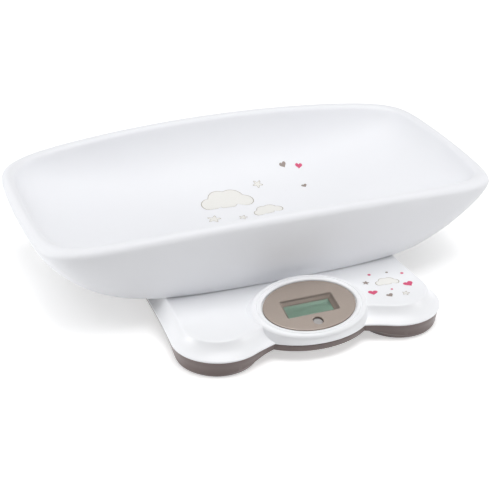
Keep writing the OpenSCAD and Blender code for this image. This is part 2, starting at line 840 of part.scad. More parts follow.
// Stamped steel plate: a middle tongue, cut free by a slot on three sides, carries the strain gauge
module load_cell(c) {
    slot = 2.2;
    s = cell_side;
    color("#b9bcc0")
        translate([c[0], c[1], cell_z])
            linear_extrude(cell_t)
                difference() {
                    square(s, center = true);
                    for (x = [-1, 1]) translate([x * s * 0.27, s * 0.05]) square([slot, s * 0.56], center = true);
                    translate([0, -s * 0.23 + slot / 2]) square([s * 0.54, slot], center = true);
                    for (x = [-1, 1], y = [-1, 1]) translate([x * s * 0.4, y * s * 0.4]) circle(1.6);
                }
    color("ivory")
        translate([c[0], c[1] + s * 0.12, cell_z + cell_t]) round_plate(8, 5, 0.9, 1);
}

// Screws: a pan head under a plain shank
module screw(shank_r, shank_h, head_r, head_h) {
    rotate_extrude($fn = 32)
        polygon([
            [0, -head_h], [head_r * 0.7, -head_h], [head_r, -head_h * 0.5], [head_r, 0], [shank_r, 0],
            [shank_r, shank_h - shank_r], [0, shank_h]
        ]);
}

module housing_screws() {
    color("#8d9094")
        for (spot = screw_spots) translate([spot[0], spot[1], belly_z + 3]) screw(screw_r, 14, 3.1, 2);
}

module board_screws() {
    color("#8d9094")
        on_panel()
            for (spot = post_spots)
                translate([spot[0], spot[1], board_h - board_t]) screw(1, 6, 2.2, 1.4);
}

module holder_screws() {
    color("#8d9094")
        for (c = pod_corners, x = [-ear_x, ear_x])
            translate([c[0] + x, c[1], holder_z + 2.2]) rotate([180, 0, 0]) screw(1, 5.6, 2.4, 1.4);
}

module battery_leads() {
    color("#b03030") lead(power_route, 0.9);
    color("#222222") lead([for (p = power_route) [p[0], p[1], p[2] + 2.4]], 0.9);
}

tray();
top_housing();
bottom_housing();
display_bezel();
display_lens();
lcd_panel();
lcd_frame();
elastomer_strips();
main_board();
board_parts();
tact_switch();
power_button();
battery_door();
battery_springs();
battery_plates();
for (index = [1 : 4])
    battery(index);
for (i = [0 : 3]) {
    load_cell(pod_corners[i]);
    cell_holder(pod_corners[i]);
    foot_cup(pod_corners[i]);
    foot_pad(pod_corners[i]);
}
color("#c8c8c8") lead(front_route, lead_r);  // sensor_lead_front_left
color("#c8c8c8") lead(mirrored(front_route), lead_r);  // sensor_lead_front_right
color("#c8c8c8") lead(rear_route, lead_r);  // sensor_lead_rear_left
color("#c8c8c8") lead(mirrored(rear_route), lead_r);  // sensor_lead_rear_right
battery_leads();
housing_screws();
board_screws();
holder_screws();
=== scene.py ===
"""Digital baby scale: a lift-off moulded tray on a low, four-lobed base with a tilted oval display.

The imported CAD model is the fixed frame. The tray and the two shells of the base are drawn again
here as fine skins, the display plate gets its rounded edges, and every other CAD piece keeps its
shape and gets its real finish. Sizes are in millimetres, and Blender's objects are in metres.
"""

import logging
import math
from dataclasses import dataclass, field
from enum import Enum

import bmesh
import bpy
from bpy.types import ID, Material, Mesh, Node, NodeSocket, NodeTree, Object, World
from mathutils import Matrix, Vector


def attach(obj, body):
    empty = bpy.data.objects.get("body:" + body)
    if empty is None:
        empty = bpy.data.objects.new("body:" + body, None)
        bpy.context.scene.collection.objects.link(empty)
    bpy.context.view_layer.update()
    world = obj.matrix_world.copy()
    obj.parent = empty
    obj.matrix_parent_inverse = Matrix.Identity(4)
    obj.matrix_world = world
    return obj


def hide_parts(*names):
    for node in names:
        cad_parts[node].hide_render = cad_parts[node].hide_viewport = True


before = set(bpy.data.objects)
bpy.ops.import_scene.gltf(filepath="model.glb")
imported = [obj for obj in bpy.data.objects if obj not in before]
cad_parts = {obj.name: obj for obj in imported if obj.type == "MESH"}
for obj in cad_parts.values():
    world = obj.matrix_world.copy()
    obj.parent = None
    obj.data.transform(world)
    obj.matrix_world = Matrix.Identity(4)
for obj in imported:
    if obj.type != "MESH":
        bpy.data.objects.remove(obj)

LOG = logging.getLogger("baby_scale")
MM = 0.001
# How far a cut reaches past the face that it starts at
PAST = 1.0
WHITE = (1.0, 1.0, 1.0, 1.0)
BLACK = (0.0, 0.0, 0.0, 1.0)
Point = tuple[float, float, float]
Rows = tuple[Point, ...]
Flat = tuple[float, float]
Flats = tuple[Flat, ...]
Ring = list[Point]
Colour = tuple[float, float, float, float]


def linear(hex_colour: str) -> Colour:
    """Turns an sRGB hex colour into linear RGBA.

    Args:
        hex_colour: the colour as "#rrggbb".

    Returns:
        Red, green, blue and alpha in linear light.
    """
    knee, slope, offset, power = 0.04045, 12.92, 0.055, 2.4
    parts = [int(hex_colour[i : i + 2], 16) / 255 for i in (1, 3, 5)]
    r, g, b = (c / slope if c <= knee else ((c + offset) / (1 + offset)) ** power for c in parts)
    return r, g, b, 1.0


def add_node(tree: NodeTree, kind: str, inputs: dict | None = None, **settings: object) -> Node:
    """Adds a node with its settings, values and links.

    Args:
        tree: the node tree that gets the node.
        kind: the node's type name.
        inputs: for each input's name or number, a value or the output socket that feeds it.
        settings: the node's own properties.

    Returns:
        The new node.
    """
    node = tree.nodes.new(kind)
    for key, value in settings.items():
        setattr(node, key, value)
    for key, value in (inputs or {}).items():
        if isinstance(value, NodeSocket):
            tree.links.new(value, node.inputs[key])
        else:
            node.inputs[key].default_value = value
    return node


def fresh_tree(owner: Material | World) -> NodeTree:
    """Gives the node tree of a material or world, emptied."""
    owner.use_nodes = True
    owner.node_tree.nodes.clear()
    return owner.node_tree


def add_object(name: str, data: ID) -> Object:
    """Puts a mesh, lamp or camera in the scene."""
    made = bpy.data.objects.new(name, data)
    bpy.context.scene.collection.objects.link(made)
    return made


# Finishes


@dataclass
class Surface:
    """A material in the making: its nodes, its shader and the piece's own coordinates."""

    tree: NodeTree
    shader: Node
    place: NodeSocket

    def patches(self, width: float, detail: float = 2.0) -> NodeSocket:
        """Gives soft random values in patches of a width in millimetres."""
        inputs = {"Vector": self.place, "Scale": 1 / (width * MM), "Detail": detail}
        return add_node(self.tree, "ShaderNodeTexNoise", inputs).outputs["Fac"]

    def streaks(self, size: Point, detail: float) -> NodeSocket:
        """Gives soft random values in streaks of a size in millimetres."""
        inputs = {"Vector": self.place, "Scale": tuple(1 / (s * MM) for s in size)}
        along = add_node(self.tree, "ShaderNodeMapping", inputs).outputs["Vector"]
        inputs = {"Vector": along, "Scale": 1.0, "Detail": detail}
        return add_node(self.tree, "ShaderNodeTexNoise", inputs).outputs["Fac"]


@dataclass(frozen=True)
class Finish:
    """What every finish has: its name, colour and gloss, and how far its roughness swings."""

    name: str
    colour: str
    roughness: float
    ior: float = 1.5
    metallic: float = 0.0
    swing: float = 0.05

    def material(self) -> Material:
        """Makes the material on first use and gives the same one later."""
        made = bpy.data.materials.get(self.name)
        if made:
            return made
        made = bpy.data.materials.new(self.name)
        tree = fresh_tree(made)
        place = add_node(tree, "ShaderNodeTexCoord").outputs["Object"]
        inputs = {
            "Base Color": linear(self.colour), "Roughness": self.roughness,
            "IOR": self.ior, "Metallic": self.metallic,
        }
        shader = add_node(tree, "ShaderNodeBsdfPrincipled", inputs)
        self.dress(Surface(tree, shader, place))
        add_node(tree, "ShaderNodeOutputMaterial", {"Surface": shader.outputs["BSDF"]})
        return made

    def dress(self, on: Surface) -> None:
        """Adds what the finish's own surface shows."""

    def vary_colour(self, on: Surface, value: NodeSocket, other: str) -> None:
        """Mixes the finish's colour with another by a pattern."""
        inputs = {"Factor": value, "A": linear(self.colour), "B": linear(other)}
        mix = add_node(on.tree, "ShaderNodeMix", inputs, data_type="RGBA")
        on.tree.links.new(mix.outputs["Result"], on.shader.inputs["Base Color"])

    def vary_roughness(self, on: Surface, value: NodeSocket) -> None:
        """Lets the roughness swing to both sides of its value by a pattern, most of 0.3 to 0.7."""
        inputs = {
            "Value": value, "From Min": 0.3, "From Max": 0.7,
            "To Min": self.roughness - self.swing, "To Max": self.roughness + self.swing,
        }
        ranged = add_node(on.tree, "ShaderNodeMapRange", inputs)
        on.tree.links.new(ranged.outputs["Result"], on.shader.inputs["Roughness"])

    def raise_grain(self, on: Surface, value: NodeSocket, height: float) -> None:
        """Bumps the surface by a pattern whose full height is given in millimetres."""
        inputs = {"Height": value, "Strength": 1.0, "Distance": height * MM}
        bump = add_node(on.tree, "ShaderNodeBump", inputs)
        on.tree.links.new(bump.outputs["Normal"], on.shader.inputs["Normal"])


@dataclass(frozen=True)
class MouldedPlastic(Finish):
    """Injection-moulded plastic from a spark-eroded steel mould."""

    swing: float = 0.04
    drift: str = "#ffffff"
    drift_w: float = 90.0
    gloss_w: float = 18.0
    # The real grain is 0.1 to 0.2 mm wide. It is drawn about ten times coarser so that it shows.
    grain_w: float = 1.4
    grain_h: float = 0.01

    def dress(self, on: Surface) -> None:
        """Adds the mould's fine grain and the slow drift of colour and gloss of a large moulding."""
        self.raise_grain(on, on.patches(self.grain_w, 3.0), self.grain_h)
        self.vary_colour(on, on.patches(self.drift_w), self.drift)
        self.vary_roughness(on, on.patches(self.gloss_w))


@dataclass(frozen=True)
class MetallicLacquer(Finish):
    """Metallic lacquer sprayed on ABS: flakes under a clear film."""

    metallic: float = 0.45
    swing: float = 0.03
    flake: str = "#9c9086"
    # Real flakes are 0.05 mm wide and wouldn't show.
    flake_w: float = 1.2
    film: float = 0.3
    film_roughness: float = 0.2

    def dress(self, on: Surface) -> None:
        """Adds the flakes and the clear film over them."""
        inputs = {"Vector": on.place, "Scale": 1 / (self.flake_w * MM)}
        flakes = add_node(on.tree, "ShaderNodeTexVoronoi", inputs).outputs["Color"]
        self.vary_colour(on, on.patches(self.flake_w, 4.0), self.flake)
        self.vary_roughness(on, flakes)
        on.shader.inputs["Coat Weight"].default_value = self.film
        on.shader.inputs["Coat Roughness"].default_value = self.film_roughness


@dataclass(frozen=True)
class ClearSheet(Finish):
    """Cast clear acrylic: light passes, with a faint gloss and hairline haze."""

    swing: float = 0.02
    haze_w: float = 6.0

    def dress(self, on: Surface) -> None:
        """Makes the sheet clear, with a haze of fine wiping marks."""
        on.shader.inputs["Transmission Weight"].default_value = 1.0
        self.vary_roughness(on, on.patches(self.haze_w, 4.0))


@dataclass(frozen=True)
class DisplayGlass(Finish):
    """Liquid crystal between two glass plates over a brushed grey-green reflector."""

    ghost: str = "#8bb09a"
    # The reflector's real brush marks are finer. They are drawn wider so that they show.
    streak: Point = (2.0, 0.625, 0.625)

    def dress(self, on: Surface) -> None:
        """Adds the reflector's streaks."""
        value = on.streaks(self.streak, 2.0)
        self.vary_colour(on, value, self.ghost)
        self.vary_roughness(on, value)


@dataclass(frozen=True)
class SoftRubber(Finish):
    """Pressed rubber or silicone with a dull, slightly dusty skin."""

    swing: float = 0.08
    dust: str = "#4a4643"
    dust_w: float = 2.0
    gloss_w: float = 5.0
    # Real pits are finer. They are drawn wider so that they show.
    pit_w: float = 1.0
    pit_h: float = 0.04

    def dress(self, on: Surface) -> None:
        """Adds a mottle of dust and a pitted skin."""
        self.vary_colour(on, on.patches(self.dust_w, 4.0), self.dust)
        self.vary_roughness(on, on.patches(self.gloss_w))
        self.raise_grain(on, on.patches(self.pit_w, 3.0), self.pit_h)


@dataclass(frozen=True)
class BareMetal(Finish):
    """Sheet or turned metal, plated or rolled: dull streaks along its length."""

    metallic: float = 1.0
    swing: float = 0.08
    tarnish: str = "#8d8f92"
    streak: Point = (8.0, 0.8, 0.8)

    def dress(self, on: Surface) -> None:
        """Adds rolling streaks and a light tarnish."""
        value = on.streaks(self.streak, 3.0)
        self.vary_colour(on, value, self.tarnish)
        self.vary_roughness(on, value)


@dataclass(frozen=True)
class BoardLaminate(Finish):
    """Glass-cloth laminate under green solder mask: the weave shows through as a fine check."""

    weave: str = "#275c3a"
    # A real thread is 0.5 mm wide. It is drawn wider so that it shows.
    thread_w: float = 1.0
    gloss_w: float = 4.0

    def dress(self, on: Surface) -> None:
        """Adds the cloth's check."""
        scale = 1 / (self.thread_w * MM)
        inputs = {"Vector": on.place, "Scale": scale, "Color1": WHITE, "Color2": BLACK}
        value = add_node(on.tree, "ShaderNodeTexChecker", inputs).outputs["Fac"]
        self.vary_colour(on, value, self.weave)
        self.vary_roughness(on, on.patches(self.gloss_w))


@dataclass(frozen=True)
class BatteryJacket(Finish):
    """Shrunk printed film on a steel can: a dark body and a copper-coloured end band."""

    metallic: float = 0.4
    band: str = "#a8743c"
    band_from: float = 47.0
    band_edge: float = 0.4
    gloss_w: float = 3.0

    def dress(self, on: Surface) -> None:
        """Paints the band beyond a place along Y, with a soft edge."""
        low, high = self.band_from - self.band_edge / 2, self.band_from + self.band_edge / 2
        along = add_node(on.tree, "ShaderNodeSeparateXYZ", {"Vector": on.place}).outputs["Y"]
        inputs = {"Value": along, "From Min": low * MM, "From Max": high * MM}
        edge = add_node(on.tree, "ShaderNodeMapRange", inputs).outputs["Result"]
        self.vary_colour(on, edge, self.band)
        self.vary_roughness(on, on.patches(self.gloss_w))


@dataclass(frozen=True)
class PrintedInk(Finish):
    """Pad-printed ink: a thin matt film whose tone wavers a little."""

    swing: float = 0.03
    thin: str = "#ffffff"
    cover_w: float = 2.5
    gloss_w: float = 6.0

    def dress(self, on: Surface) -> None:
        """Adds the film's uneven cover."""
        self.vary_colour(on, on.patches(self.cover_w, 3.0), self.thin)
        self.vary_roughness(on, on.patches(self.gloss_w))


# Polypropylene of the tray: a milky white with a soft satin gloss
TRAY_WHITE = MouldedPlastic("moulded_polypropylene_white", "#eff0f4", 0.55, 1.49, drift="#f2f3f6")
# ABS of the base: a brighter, smoother white from a polished mould
BASE_WHITE = MouldedPlastic(
    "moulded_abs_gloss_white", "#eff0f3", 0.34, 1.52, drift="#f2f3f5", grain_h=0.004
)
# ABS of the lower shell: grey-brown, satin
SHELL_BROWN = MouldedPlastic("moulded_abs_satin_brown", "#6b5d5a", 0.36, 1.52, drift="#71625f")
# Sprayed metallic lacquer of the display plate: silvery brown, bright where it faces the light
BEZEL_LACQUER = MetallicLacquer("sprayed_lacquer_taupe", "#948880", 0.38)
# Button: satin grey ABS
BUTTON_GREY = MouldedPlastic(
    "moulded_abs_button_grey", "#a3a09f", 0.35, 1.52, drift="#a8a5a4", grain_h=0.004
)
# Sheet over the display
LENS_CLEAR = ClearSheet("cast_acrylic_clear", "#ffffff", 0.04, 1.49)
# Unlit display
LCD_GREEN = DisplayGlass("laminated_display_glass", "#93b8a2", 0.3, 1.52)
# Unseen mouldings inside
INNER_NATURAL = MouldedPlastic("moulded_abs_natural", "#d8d4ca", 0.45, 1.52, drift="#dedacf")
# Conductive strips: pink silicone
STRIP_PINK = SoftRubber("cast_silicone_pink", "#d98ea4", 0.5, 1.41, dust="#cf8298")
# Circuit board
MASK_GREEN = BoardLaminate("etched_board_green", "#2f6b43", 0.35)
# Black moulded parts on the board
EPOXY_BLACK = MouldedPlastic("cast_epoxy_black", "#1d1d1f", 0.4, 1.55, drift="#242426")
# Battery film
JACKET_FILM = BatteryJacket("shrunk_battery_film", "#32373c", 0.3)
# Nickel on spring steel: bright, slightly yellow
CONTACT_NICKEL = BareMetal(
    "plated_nickel_contact", "#c4bfb4", 0.25, tarnish="#aba69a", streak=(1.0, 6.0, 1.0)
)
# Rolled steel of the load cells
CELL_STEEL = BareMetal("stamped_steel_cell", "#a9acb0", 0.34)
# Feet
FOOT_BROWN = MouldedPlastic("moulded_abs_foot_brown", "#564c47", 0.45, 1.52, drift="#5e534e")
FOOT_RUBBER = SoftRubber("pressed_rubber_dark", "#3a3634", 0.75, 1.52)
# Sleeves of the leads
LEAD_GREY = SoftRubber("drawn_pvc_grey", "#b9b9b7", 0.45, 1.53, dust="#adadab")
LEAD_RED = SoftRubber("drawn_pvc_red", "#a83232", 0.4, 1.53, dust="#9b2c2c")
# Zinc on steel: a cool dull shine
SCREW_ZINC = BareMetal(
    "plated_zinc_screw", "#a2a6aa", 0.3, tarnish="#8b8f93", streak=(1.0, 1.0, 1.0)
)
# Inks of the small motifs
INK_LINE = PrintedInk("printed_ink_grey", "#a79e92", 0.5, thin="#b6aea3")
INK_FILL = PrintedInk("printed_ink_pale", "#ebeae5", 0.5, thin="#f0efec")
INK_TAUPE = PrintedInk("printed_ink_taupe", "#8d7f78", 0.5, thin="#a0938c")
INK_ROSE = PrintedInk("printed_ink_rose", "#cf3566", 0.5, thin="#d95c82")
# The studio's paper floor
PAPER_COLOUR = "#f4f4f4"


# Mesh helpers


def spread(start: float, end: float, parts: int) -> list[float]:
    """Gives the ends of so many equal parts between two values."""
    return [start + (end - start) * i / parts for i in range(parts + 1)]


def circle(a: float, b: float, n: int) -> list[Flat]:
    """Gives n points round an ellipse of two half widths, counter-clockwise."""
    return [(a * math.cos(math.tau * i / n), b * math.sin(math.tau * i / n)) for i in range(n)]


def direction(turn: float) -> Flat:
    """Gives the cosine and the sine of an angle in degrees."""
    return math.cos(math.radians(turn)), math.sin(math.radians(turn))


def mirrored(x: float, y: float) -> list[Flat]:
    """Gives the four points at these distances from the two middle lines."""
    return [(u, v) for u in (-x, x) for v in (-y, y)]


def smooth_rings(rings: list[Ring], steps: int) -> list[Ring]:
    """Adds rings between the given ones so that the skin curves smoothly through them.

    Args:
        rings: rings of equal count.
        steps: how many parts each stretch is cut into.

    Returns:
        The given rings with those between them.
    """

    def between(p: float, q: float, r: float, s: float, t: float) -> float:
        """Gives the Catmull-Rom curve through q and r at t."""
        square, cube = 2 * p - 5 * q + 4 * r - s, 3 * q - p - 3 * r + s
        return 0.5 * (2 * q + (r - p) * t + square * t * t + cube * t**3)

    last = len(rings) - 1
    out: list[Ring] = []
    for k in range(last):
        near = rings[max(k - 1, 0)], rings[k], rings[k + 1], rings[min(k + 2, last)]
        for t in spread(0, 1, steps)[:-1]:
            out.append([tuple(between(*c, t) for c in zip(*corner)) for corner in zip(*near)])
    return out + [rings[last]]


@dataclass
class Skin:
    """Collects points, in millimetres, and faces of one mesh."""

    points: list[Point] = field(default_factory=list)
    faces: list[tuple[int, ...]] = field(default_factory=list)

    def loft(self, rings: list[Ring], closed: bool = True) -> "Skin":
        """Adds a skin through rings of equal count, each counter-clockwise seen from the last one.

        Args:
            rings: the rings, in order.
            closed: whether the first and the last ring are closed by a face.

        Returns:
            The skin itself.
        """
        start, n = len(self.points), len(rings[0])
        for ring in rings:
            self.points.extend(ring)
        for k in range(len(rings) - 1):
            for i in range(n):
                a, b = start + k * n + i, start + k * n + (i + 1) % n
                self.faces.append((a, b, b + n, a + n))
        if closed:
            top = start + (len(rings) - 1) * n
            self.faces.append(tuple(reversed(range(start, start + n))))
            self.faces.append(tuple(range(top, top + n)))
        return self

    def lathe(self, centre: Point, profile: list[Flat], n: int = 48) -> "Skin":
        """Adds a turned skin: profile gives radius and height over the centre, from inside out."""
        x, y, z = centre
        rings = [[(x + u, y + v, z + h) for u, v in circle(r, r, n)] for r, h in profile]
        return self.loft(rings, closed=False)

    def block(self, low: Point, high: Point) -> "Skin":
        """Adds a box between two corners."""
        (ax, ay, az), (bx, by, bz) = low, high
        return self.loft([[(ax, ay, z), (bx, ay, z), (bx, by, z), (ax, by, z)] for z in (az, bz)])

    def mesh(self, name: str, weld: float = 0.002) -> Mesh:
        """Makes the mesh, in metres.

        Args:
            name: the mesh's name.
            weld: the distance, in millimetres, within which points are made one.

        Returns:
            The mesh.
        """
        made = bpy.data.meshes.new(name)
        made.from_pydata([tuple(c * MM for c in p) for p in self.points], [], self.faces)
        shape = bmesh.new()
        shape.from_mesh(made)
        bmesh.ops.remove_doubles(shape, verts=shape.verts, dist=weld * MM)
        shape.to_mesh(made)
        shape.free()
        return made


def shade(mesh: Mesh, smooth: float) -> None:
    """Shades a mesh smooth except over edges sharper than an angle in degrees."""
    mesh.shade_smooth()
    mesh.set_sharp_from_angle(angle=math.radians(smooth))


def add_piece(name: str, skin: Skin, finish: Finish, smooth: float = 30.0) -> Object:
    """Puts a skin in the scene with its finish.

    Args:
        name: the piece's name.
        skin: its skin.
        finish: its finish.
        smooth: the largest angle, in degrees, over which the surface is shaded smooth.

    Returns:
        The new piece.
    """
    mesh = skin.mesh(name)
    shade(mesh, smooth)
    mesh.materials.append(finish.material())
    return add_object(name, mesh)


class Joint(Enum):
    """How one closed mesh acts on another."""

    ADD = "UNION"
    CUT = "DIFFERENCE"
    TRIM = "INTERSECT"


def work(target: Object, joint: Joint, skin: Skin | Object, name: str = "tool") -> None:
    """Adds a closed skin to an object, cuts it out or trims the object to it.

    Args:
        target: the object whose mesh is worked on.
        joint: what the skin does.
        skin: the closed skin, or an object that is used up.
        name: the tool's name.
    """
    tool = add_object(name, skin.mesh(name)) if isinstance(skin, Skin) else skin
    modifier = target.modifiers.new("work", "BOOLEAN")
    modifier.operation = joint.value
    modifier.solver = "MANIFOLD"
    modifier.object = tool
    graph = bpy.context.evaluated_depsgraph_get()
    mesh = bpy.data.meshes.new_from_object(target.evaluated_get(graph), depsgraph=graph)
    target.modifiers.remove(modifier)
    if not mesh.polygons:
        raise RuntimeError(f"{target.name}: nothing is left after {name}")
    target.data = mesh
    bpy.data.objects.remove(tool)


def carry(piece: Object, body: str, slot: str, *nodes: str) -> None:
    """Hands a piece to the frame.

    Args:
        piece: the piece.
        body: the body that it rides on.
        slot: its material slot; not used.
        nodes: the CAD nodes that it stands for.
    """
    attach(piece, body)
    if nodes:
        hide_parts(*nodes)
    LOG.info("%s: %d faces on %s", piece.name, len(piece.data.polygons), body)


def dress_nodes(finish: Finish, *names: str) -> None:
    """Gives CAD nodes their finish."""
    for name in names:
        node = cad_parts[name]
        node.data.materials.clear()
        node.data.materials.append(finish.material())
        LOG.info("%s: %s", name, finish.name)


# Tray


@dataclass
class MouldedTray:
    """The lift-off tray: one moulded skin with a rolled rim, ribs and four sockets under its basin.

    A ring's share is its place from the skirt's lower edge, 0, to the rim, 1. A ring's phi is its
    place on the basin's face in degrees, 0 in the middle of the floor and basin_edge under the rim.
    """

    length: float = 572.0
    width: float = 320.0
    centre_y: float = 47.0
    wall: float = 3.0
    # Even share of the points round a ring; the others crowd into its corners
    even: float = 0.45
    quarter: int = 56
    # Rolled rim: bead, middle line, bows, squareness, and how far the bead turns
    rim_r: float = 8.0
    rim_z: float = 112.8
    rim_crown: float = 14.5
    side_bow: float = 17.7
    end_bow: float = 8.5
    rim_square: float = 9.0
    rim_turn: float = 160.0
    # Skirt: its lower edge, which rises under the ends, and how it swells to the rim
    skirt_z: float = 39.0
    skirt_rise: float = 7.7
    rise_from: float = 150.0
    rise_over: float = 100.0
    skirt_l: float = 480.0
    skirt_w: float = 269.0
    skirt_square: float = 3.4
    skirt_bow: float = 0.3
    swell: float = 1.4
    # Its rings: shares down the inside, share and inset round the lower edge, shares up the outside
    skirt_inside: Flat = (0.86, 0.01)
    skirt_lip: Flats = ((0.0, 2.2), (0.0, 0.8), (0.012, 0.0))
    skirt_outside: Flat = (0.04, 0.96)
    # Basin: its floor, its edge, and how length, width and squareness grow with the sine of phi
    floor_z: float = 52.0
    floor_phi: float = 0.3
    under_phi: float = 71.0
    basin_edge: float = 77.0
    length_power: float = 0.5
    width_power: float = 0.667
    floor_square: float = 3.0
    square_power: float = 4.0
    # Ribs and sockets under the basin
    rib_t: float = 2.2
    rib_lift: float = 2.5
    rib_ends: Flat = (212.0, 104.0)
    rib_y: tuple[float, ...] = (-75, -25, 25, 75)
    rib_x: tuple[float, ...] = (-200, -150, -100, -50, 0, 50, 100, 150, 200)
    stud_x: float = 80.0
    stud_y: float = 65.0
    socket_r: float = 6.0
    socket_wall: float = 2.4
    socket_depth: float = 6.0
    socket_lift: float = 1.0

    def __post_init__(self) -> None:
        """Works out the rim's middle line."""
        self.rim_a = self.length / 2 - self.rim_r
        self.rim_b = self.width / 2 - self.rim_r

    def rim_height(self, x: float) -> float:
        """Gives the height of the rim's middle line at x."""
        return self.rim_z + self.rim_crown * (1 - (x / self.rim_a) ** 2)

    def edge_height(self, x: float) -> float:
        """Gives the height of the skirt's lower edge at x."""
        beyond = max(0.0, abs(x) - self.rise_from)
        return self.skirt_z + self.skirt_rise * (beyond / self.rise_over) ** 2

    def oblong(self, a: float, b: float, square: float, bow: Flat) -> list[Flat]:
        """Gives a bowed, rounded oblong.

        Args:
            a: half length.
            b: half width.
            square: how square the corners are.
            bow: how far the long sides and the short sides bow outward.

        Returns:
            Points round it, closer together in the corners.
        """
        out: list[Flat] = []
        for q in range(4):
            for t in spread(-1, 1, self.quarter)[:-1]:
                c, s = direction(90 * q + 45 + 45 * t * (self.even + (1 - self.even) * t * t))
                k = (abs(c) ** square + abs(s) ** square) ** (-1 / square)
                u, w = k * c, k * s
                out.append((u * (a - bow[1] * w * w), w * (b - bow[0] * u * u)))
        return out

    def bead_ring(self, turn: float) -> Ring:
        """Gives the rolled rim's ring at an angle round its bead, 0 outermost and 90 on top."""
        c, s = direction(turn)
        a, b = self.rim_a + self.rim_r * c, self.rim_b + self.rim_r * c
        flat = self.oblong(a, b, self.rim_square, (self.side_bow, self.end_bow))
        return [(x, y + self.centre_y, self.rim_height(x) + self.rim_r * s) for x, y in flat]

    def basin_share(self, phi: float) -> float:
        """Gives how far the basin's ring at phi is from the middle, 1 at its edge."""
        return direction(phi)[1] / direction(self.basin_edge)[1]

    def basin_bow(self, phi: float) -> Flat:
        """Gives how far the long sides and the short sides of the basin's ring at phi bow."""
        bow = self.basin_share(phi) ** 2
        return self.side_bow * bow, self.end_bow * bow

    def basin_size(self, phi: float) -> Point:
        """Gives half length, half width and squareness of the basin's ring at phi."""
        s = self.basin_share(phi)
        grow = self.rim_r * direction(self.rim_turn)[0]
        return (
            (self.rim_a + grow) * s**self.length_power,
            (self.rim_b + grow) * s**self.width_power,
            self.floor_square + (self.rim_square - self.floor_square) * s**self.square_power,
        )

    def basin_height(self, phi: float, x: float) -> float:
        """Gives the height of the basin's face on the ring at phi."""
        edge = self.rim_height(x) + self.rim_r * direction(self.rim_turn)[1]
        share = (1 - direction(phi)[0]) / (1 - direction(self.basin_edge)[0])
        return self.floor_z + (edge - self.floor_z) * share

    def basin_ring(self, phi: float, drop: float) -> Ring:
        """Gives the basin's ring at phi, moved outward by drop."""
        a, b, square = self.basin_size(phi)
        flat = self.oblong(a + drop, b + drop, square, self.basin_bow(phi))
        return [(x, y + self.centre_y, self.basin_height(phi, x) - drop) for x, y in flat]

    def skirt_ring(self, share: float, inset: float) -> Ring:
        """Gives one of the skirt's rings.

        Args:
            share: its place from the lower edge, 0, to the rim, 1.
            inset: how far it is moved inward.

        Returns:
            The ring.
        """
        swell = 1 - (1 - share) ** self.swell
        flat = self.oblong(
            self.skirt_l / 2 + (self.length - self.skirt_l) / 2 * swell - inset,
            self.skirt_w / 2 + (self.width - self.skirt_w) / 2 * swell - inset,
            self.skirt_square + (self.rim_square - self.skirt_square) * share,
            (self.side_bow * (self.skirt_bow + (1 - self.skirt_bow) * share), self.end_bow * share),
        )
        out: Ring = []
        for x, y in flat:
            low = self.edge_height(x)
            out.append((x, y + self.centre_y, low + (self.rim_height(x) - low) * share))
        return out

    def basin_z(self, x: float, y: float) -> float:
        """Gives the height of the basin's face over a point, from the ring that passes through it.

        Args:
            x: how far the point is from the tray's middle along its length.
            y: how far it is from the middle across.

        Returns:
            The height.
        """
        low, high = self.floor_phi, self.basin_edge
        halvings, rounds, beyond = 24, 4, 1.2
        for _ in range(halvings):
            mid = (low + high) / 2
            a, b, square = self.basin_size(mid)
            side, end = self.basin_bow(mid)
            u, w = abs(x) / a, abs(y) / b
            for _ in range(rounds):
                u, w = (
                    min(beyond, abs(x) / (a - end * w * w)),
                    min(beyond, abs(y) / (b - side * u * u)),
                )
            if u**square + w**square > 1:
                low = mid
            else:
                high = mid
        return self.basin_height((low + high) / 2, x)

    def rib(self, skin: Skin, start: Flat, end: Flat) -> None:
        """Adds a rib whose top follows the basin's underside.

        Args:
            skin: the skin that gets the rib.
            start: where it starts, from the tray's middle.
            end: where it ends.
        """
        length = math.dist(start, end)
        u, w = (self.rib_t / 2 * (end[k] - start[k]) / length for k in (0, 1))
        low = self.skirt_z + self.rib_lift
        rings: list[Ring] = []
        for x, y in zip(spread(start[0], end[0], 40), spread(start[1], end[1], 40)):
            high = self.basin_z(x, y) - self.wall / 2
            row = ((-1, low), (1, low), (1, high), (-1, high))
            rings.append([(x - s * w, y + s * u + self.centre_y, z) for s, z in row])
        skin.loft(rings)

    def build(self) -> None:
        """Builds the tray from its skin, ribs and sockets."""
        skin = Skin()
        under = spread(self.floor_phi, self.under_phi, 22)
        upper = spread(self.basin_edge, 0, 34)[1:-1] + [self.floor_phi]
        skin.loft(
            [self.basin_ring(phi, self.wall) for phi in under]
            + [self.skirt_ring(share, self.wall) for share in spread(*self.skirt_inside, 12)]
            + [self.skirt_ring(*row) for row in self.skirt_lip]
            + [self.skirt_ring(share, 0.0) for share in spread(*self.skirt_outside, 24)]
            + [self.bead_ring(turn) for turn in spread(0, self.rim_turn, 16)]
            + [self.basin_ring(phi, 0.0) for phi in upper]
        )
        end_x, end_y = self.rib_ends
        for y in self.rib_y:
            self.rib(skin, (-end_x, y), (end_x, y))
        for x in self.rib_x:
            self.rib(skin, (x, -end_y), (x, end_y))
        low, high = self.skirt_z + self.socket_lift, self.basin_z(self.stud_x, self.stud_y)
        r, outer, deep = self.socket_r, self.socket_r + self.socket_wall, low + self.socket_depth
        socket = [(0.0, deep), (r, deep), (r, low), (outer, low), (outer, high - self.wall / 2)]
        for x, y in mirrored(self.stud_x, self.stud_y):
            skin.lathe((x, self.centre_y + y, 0), socket)
        tray = add_piece("moulded_tray", skin, TRAY_WHITE, smooth=40.0)
        carry(tray, "tray", "tray_plastic", "tray")


# Base


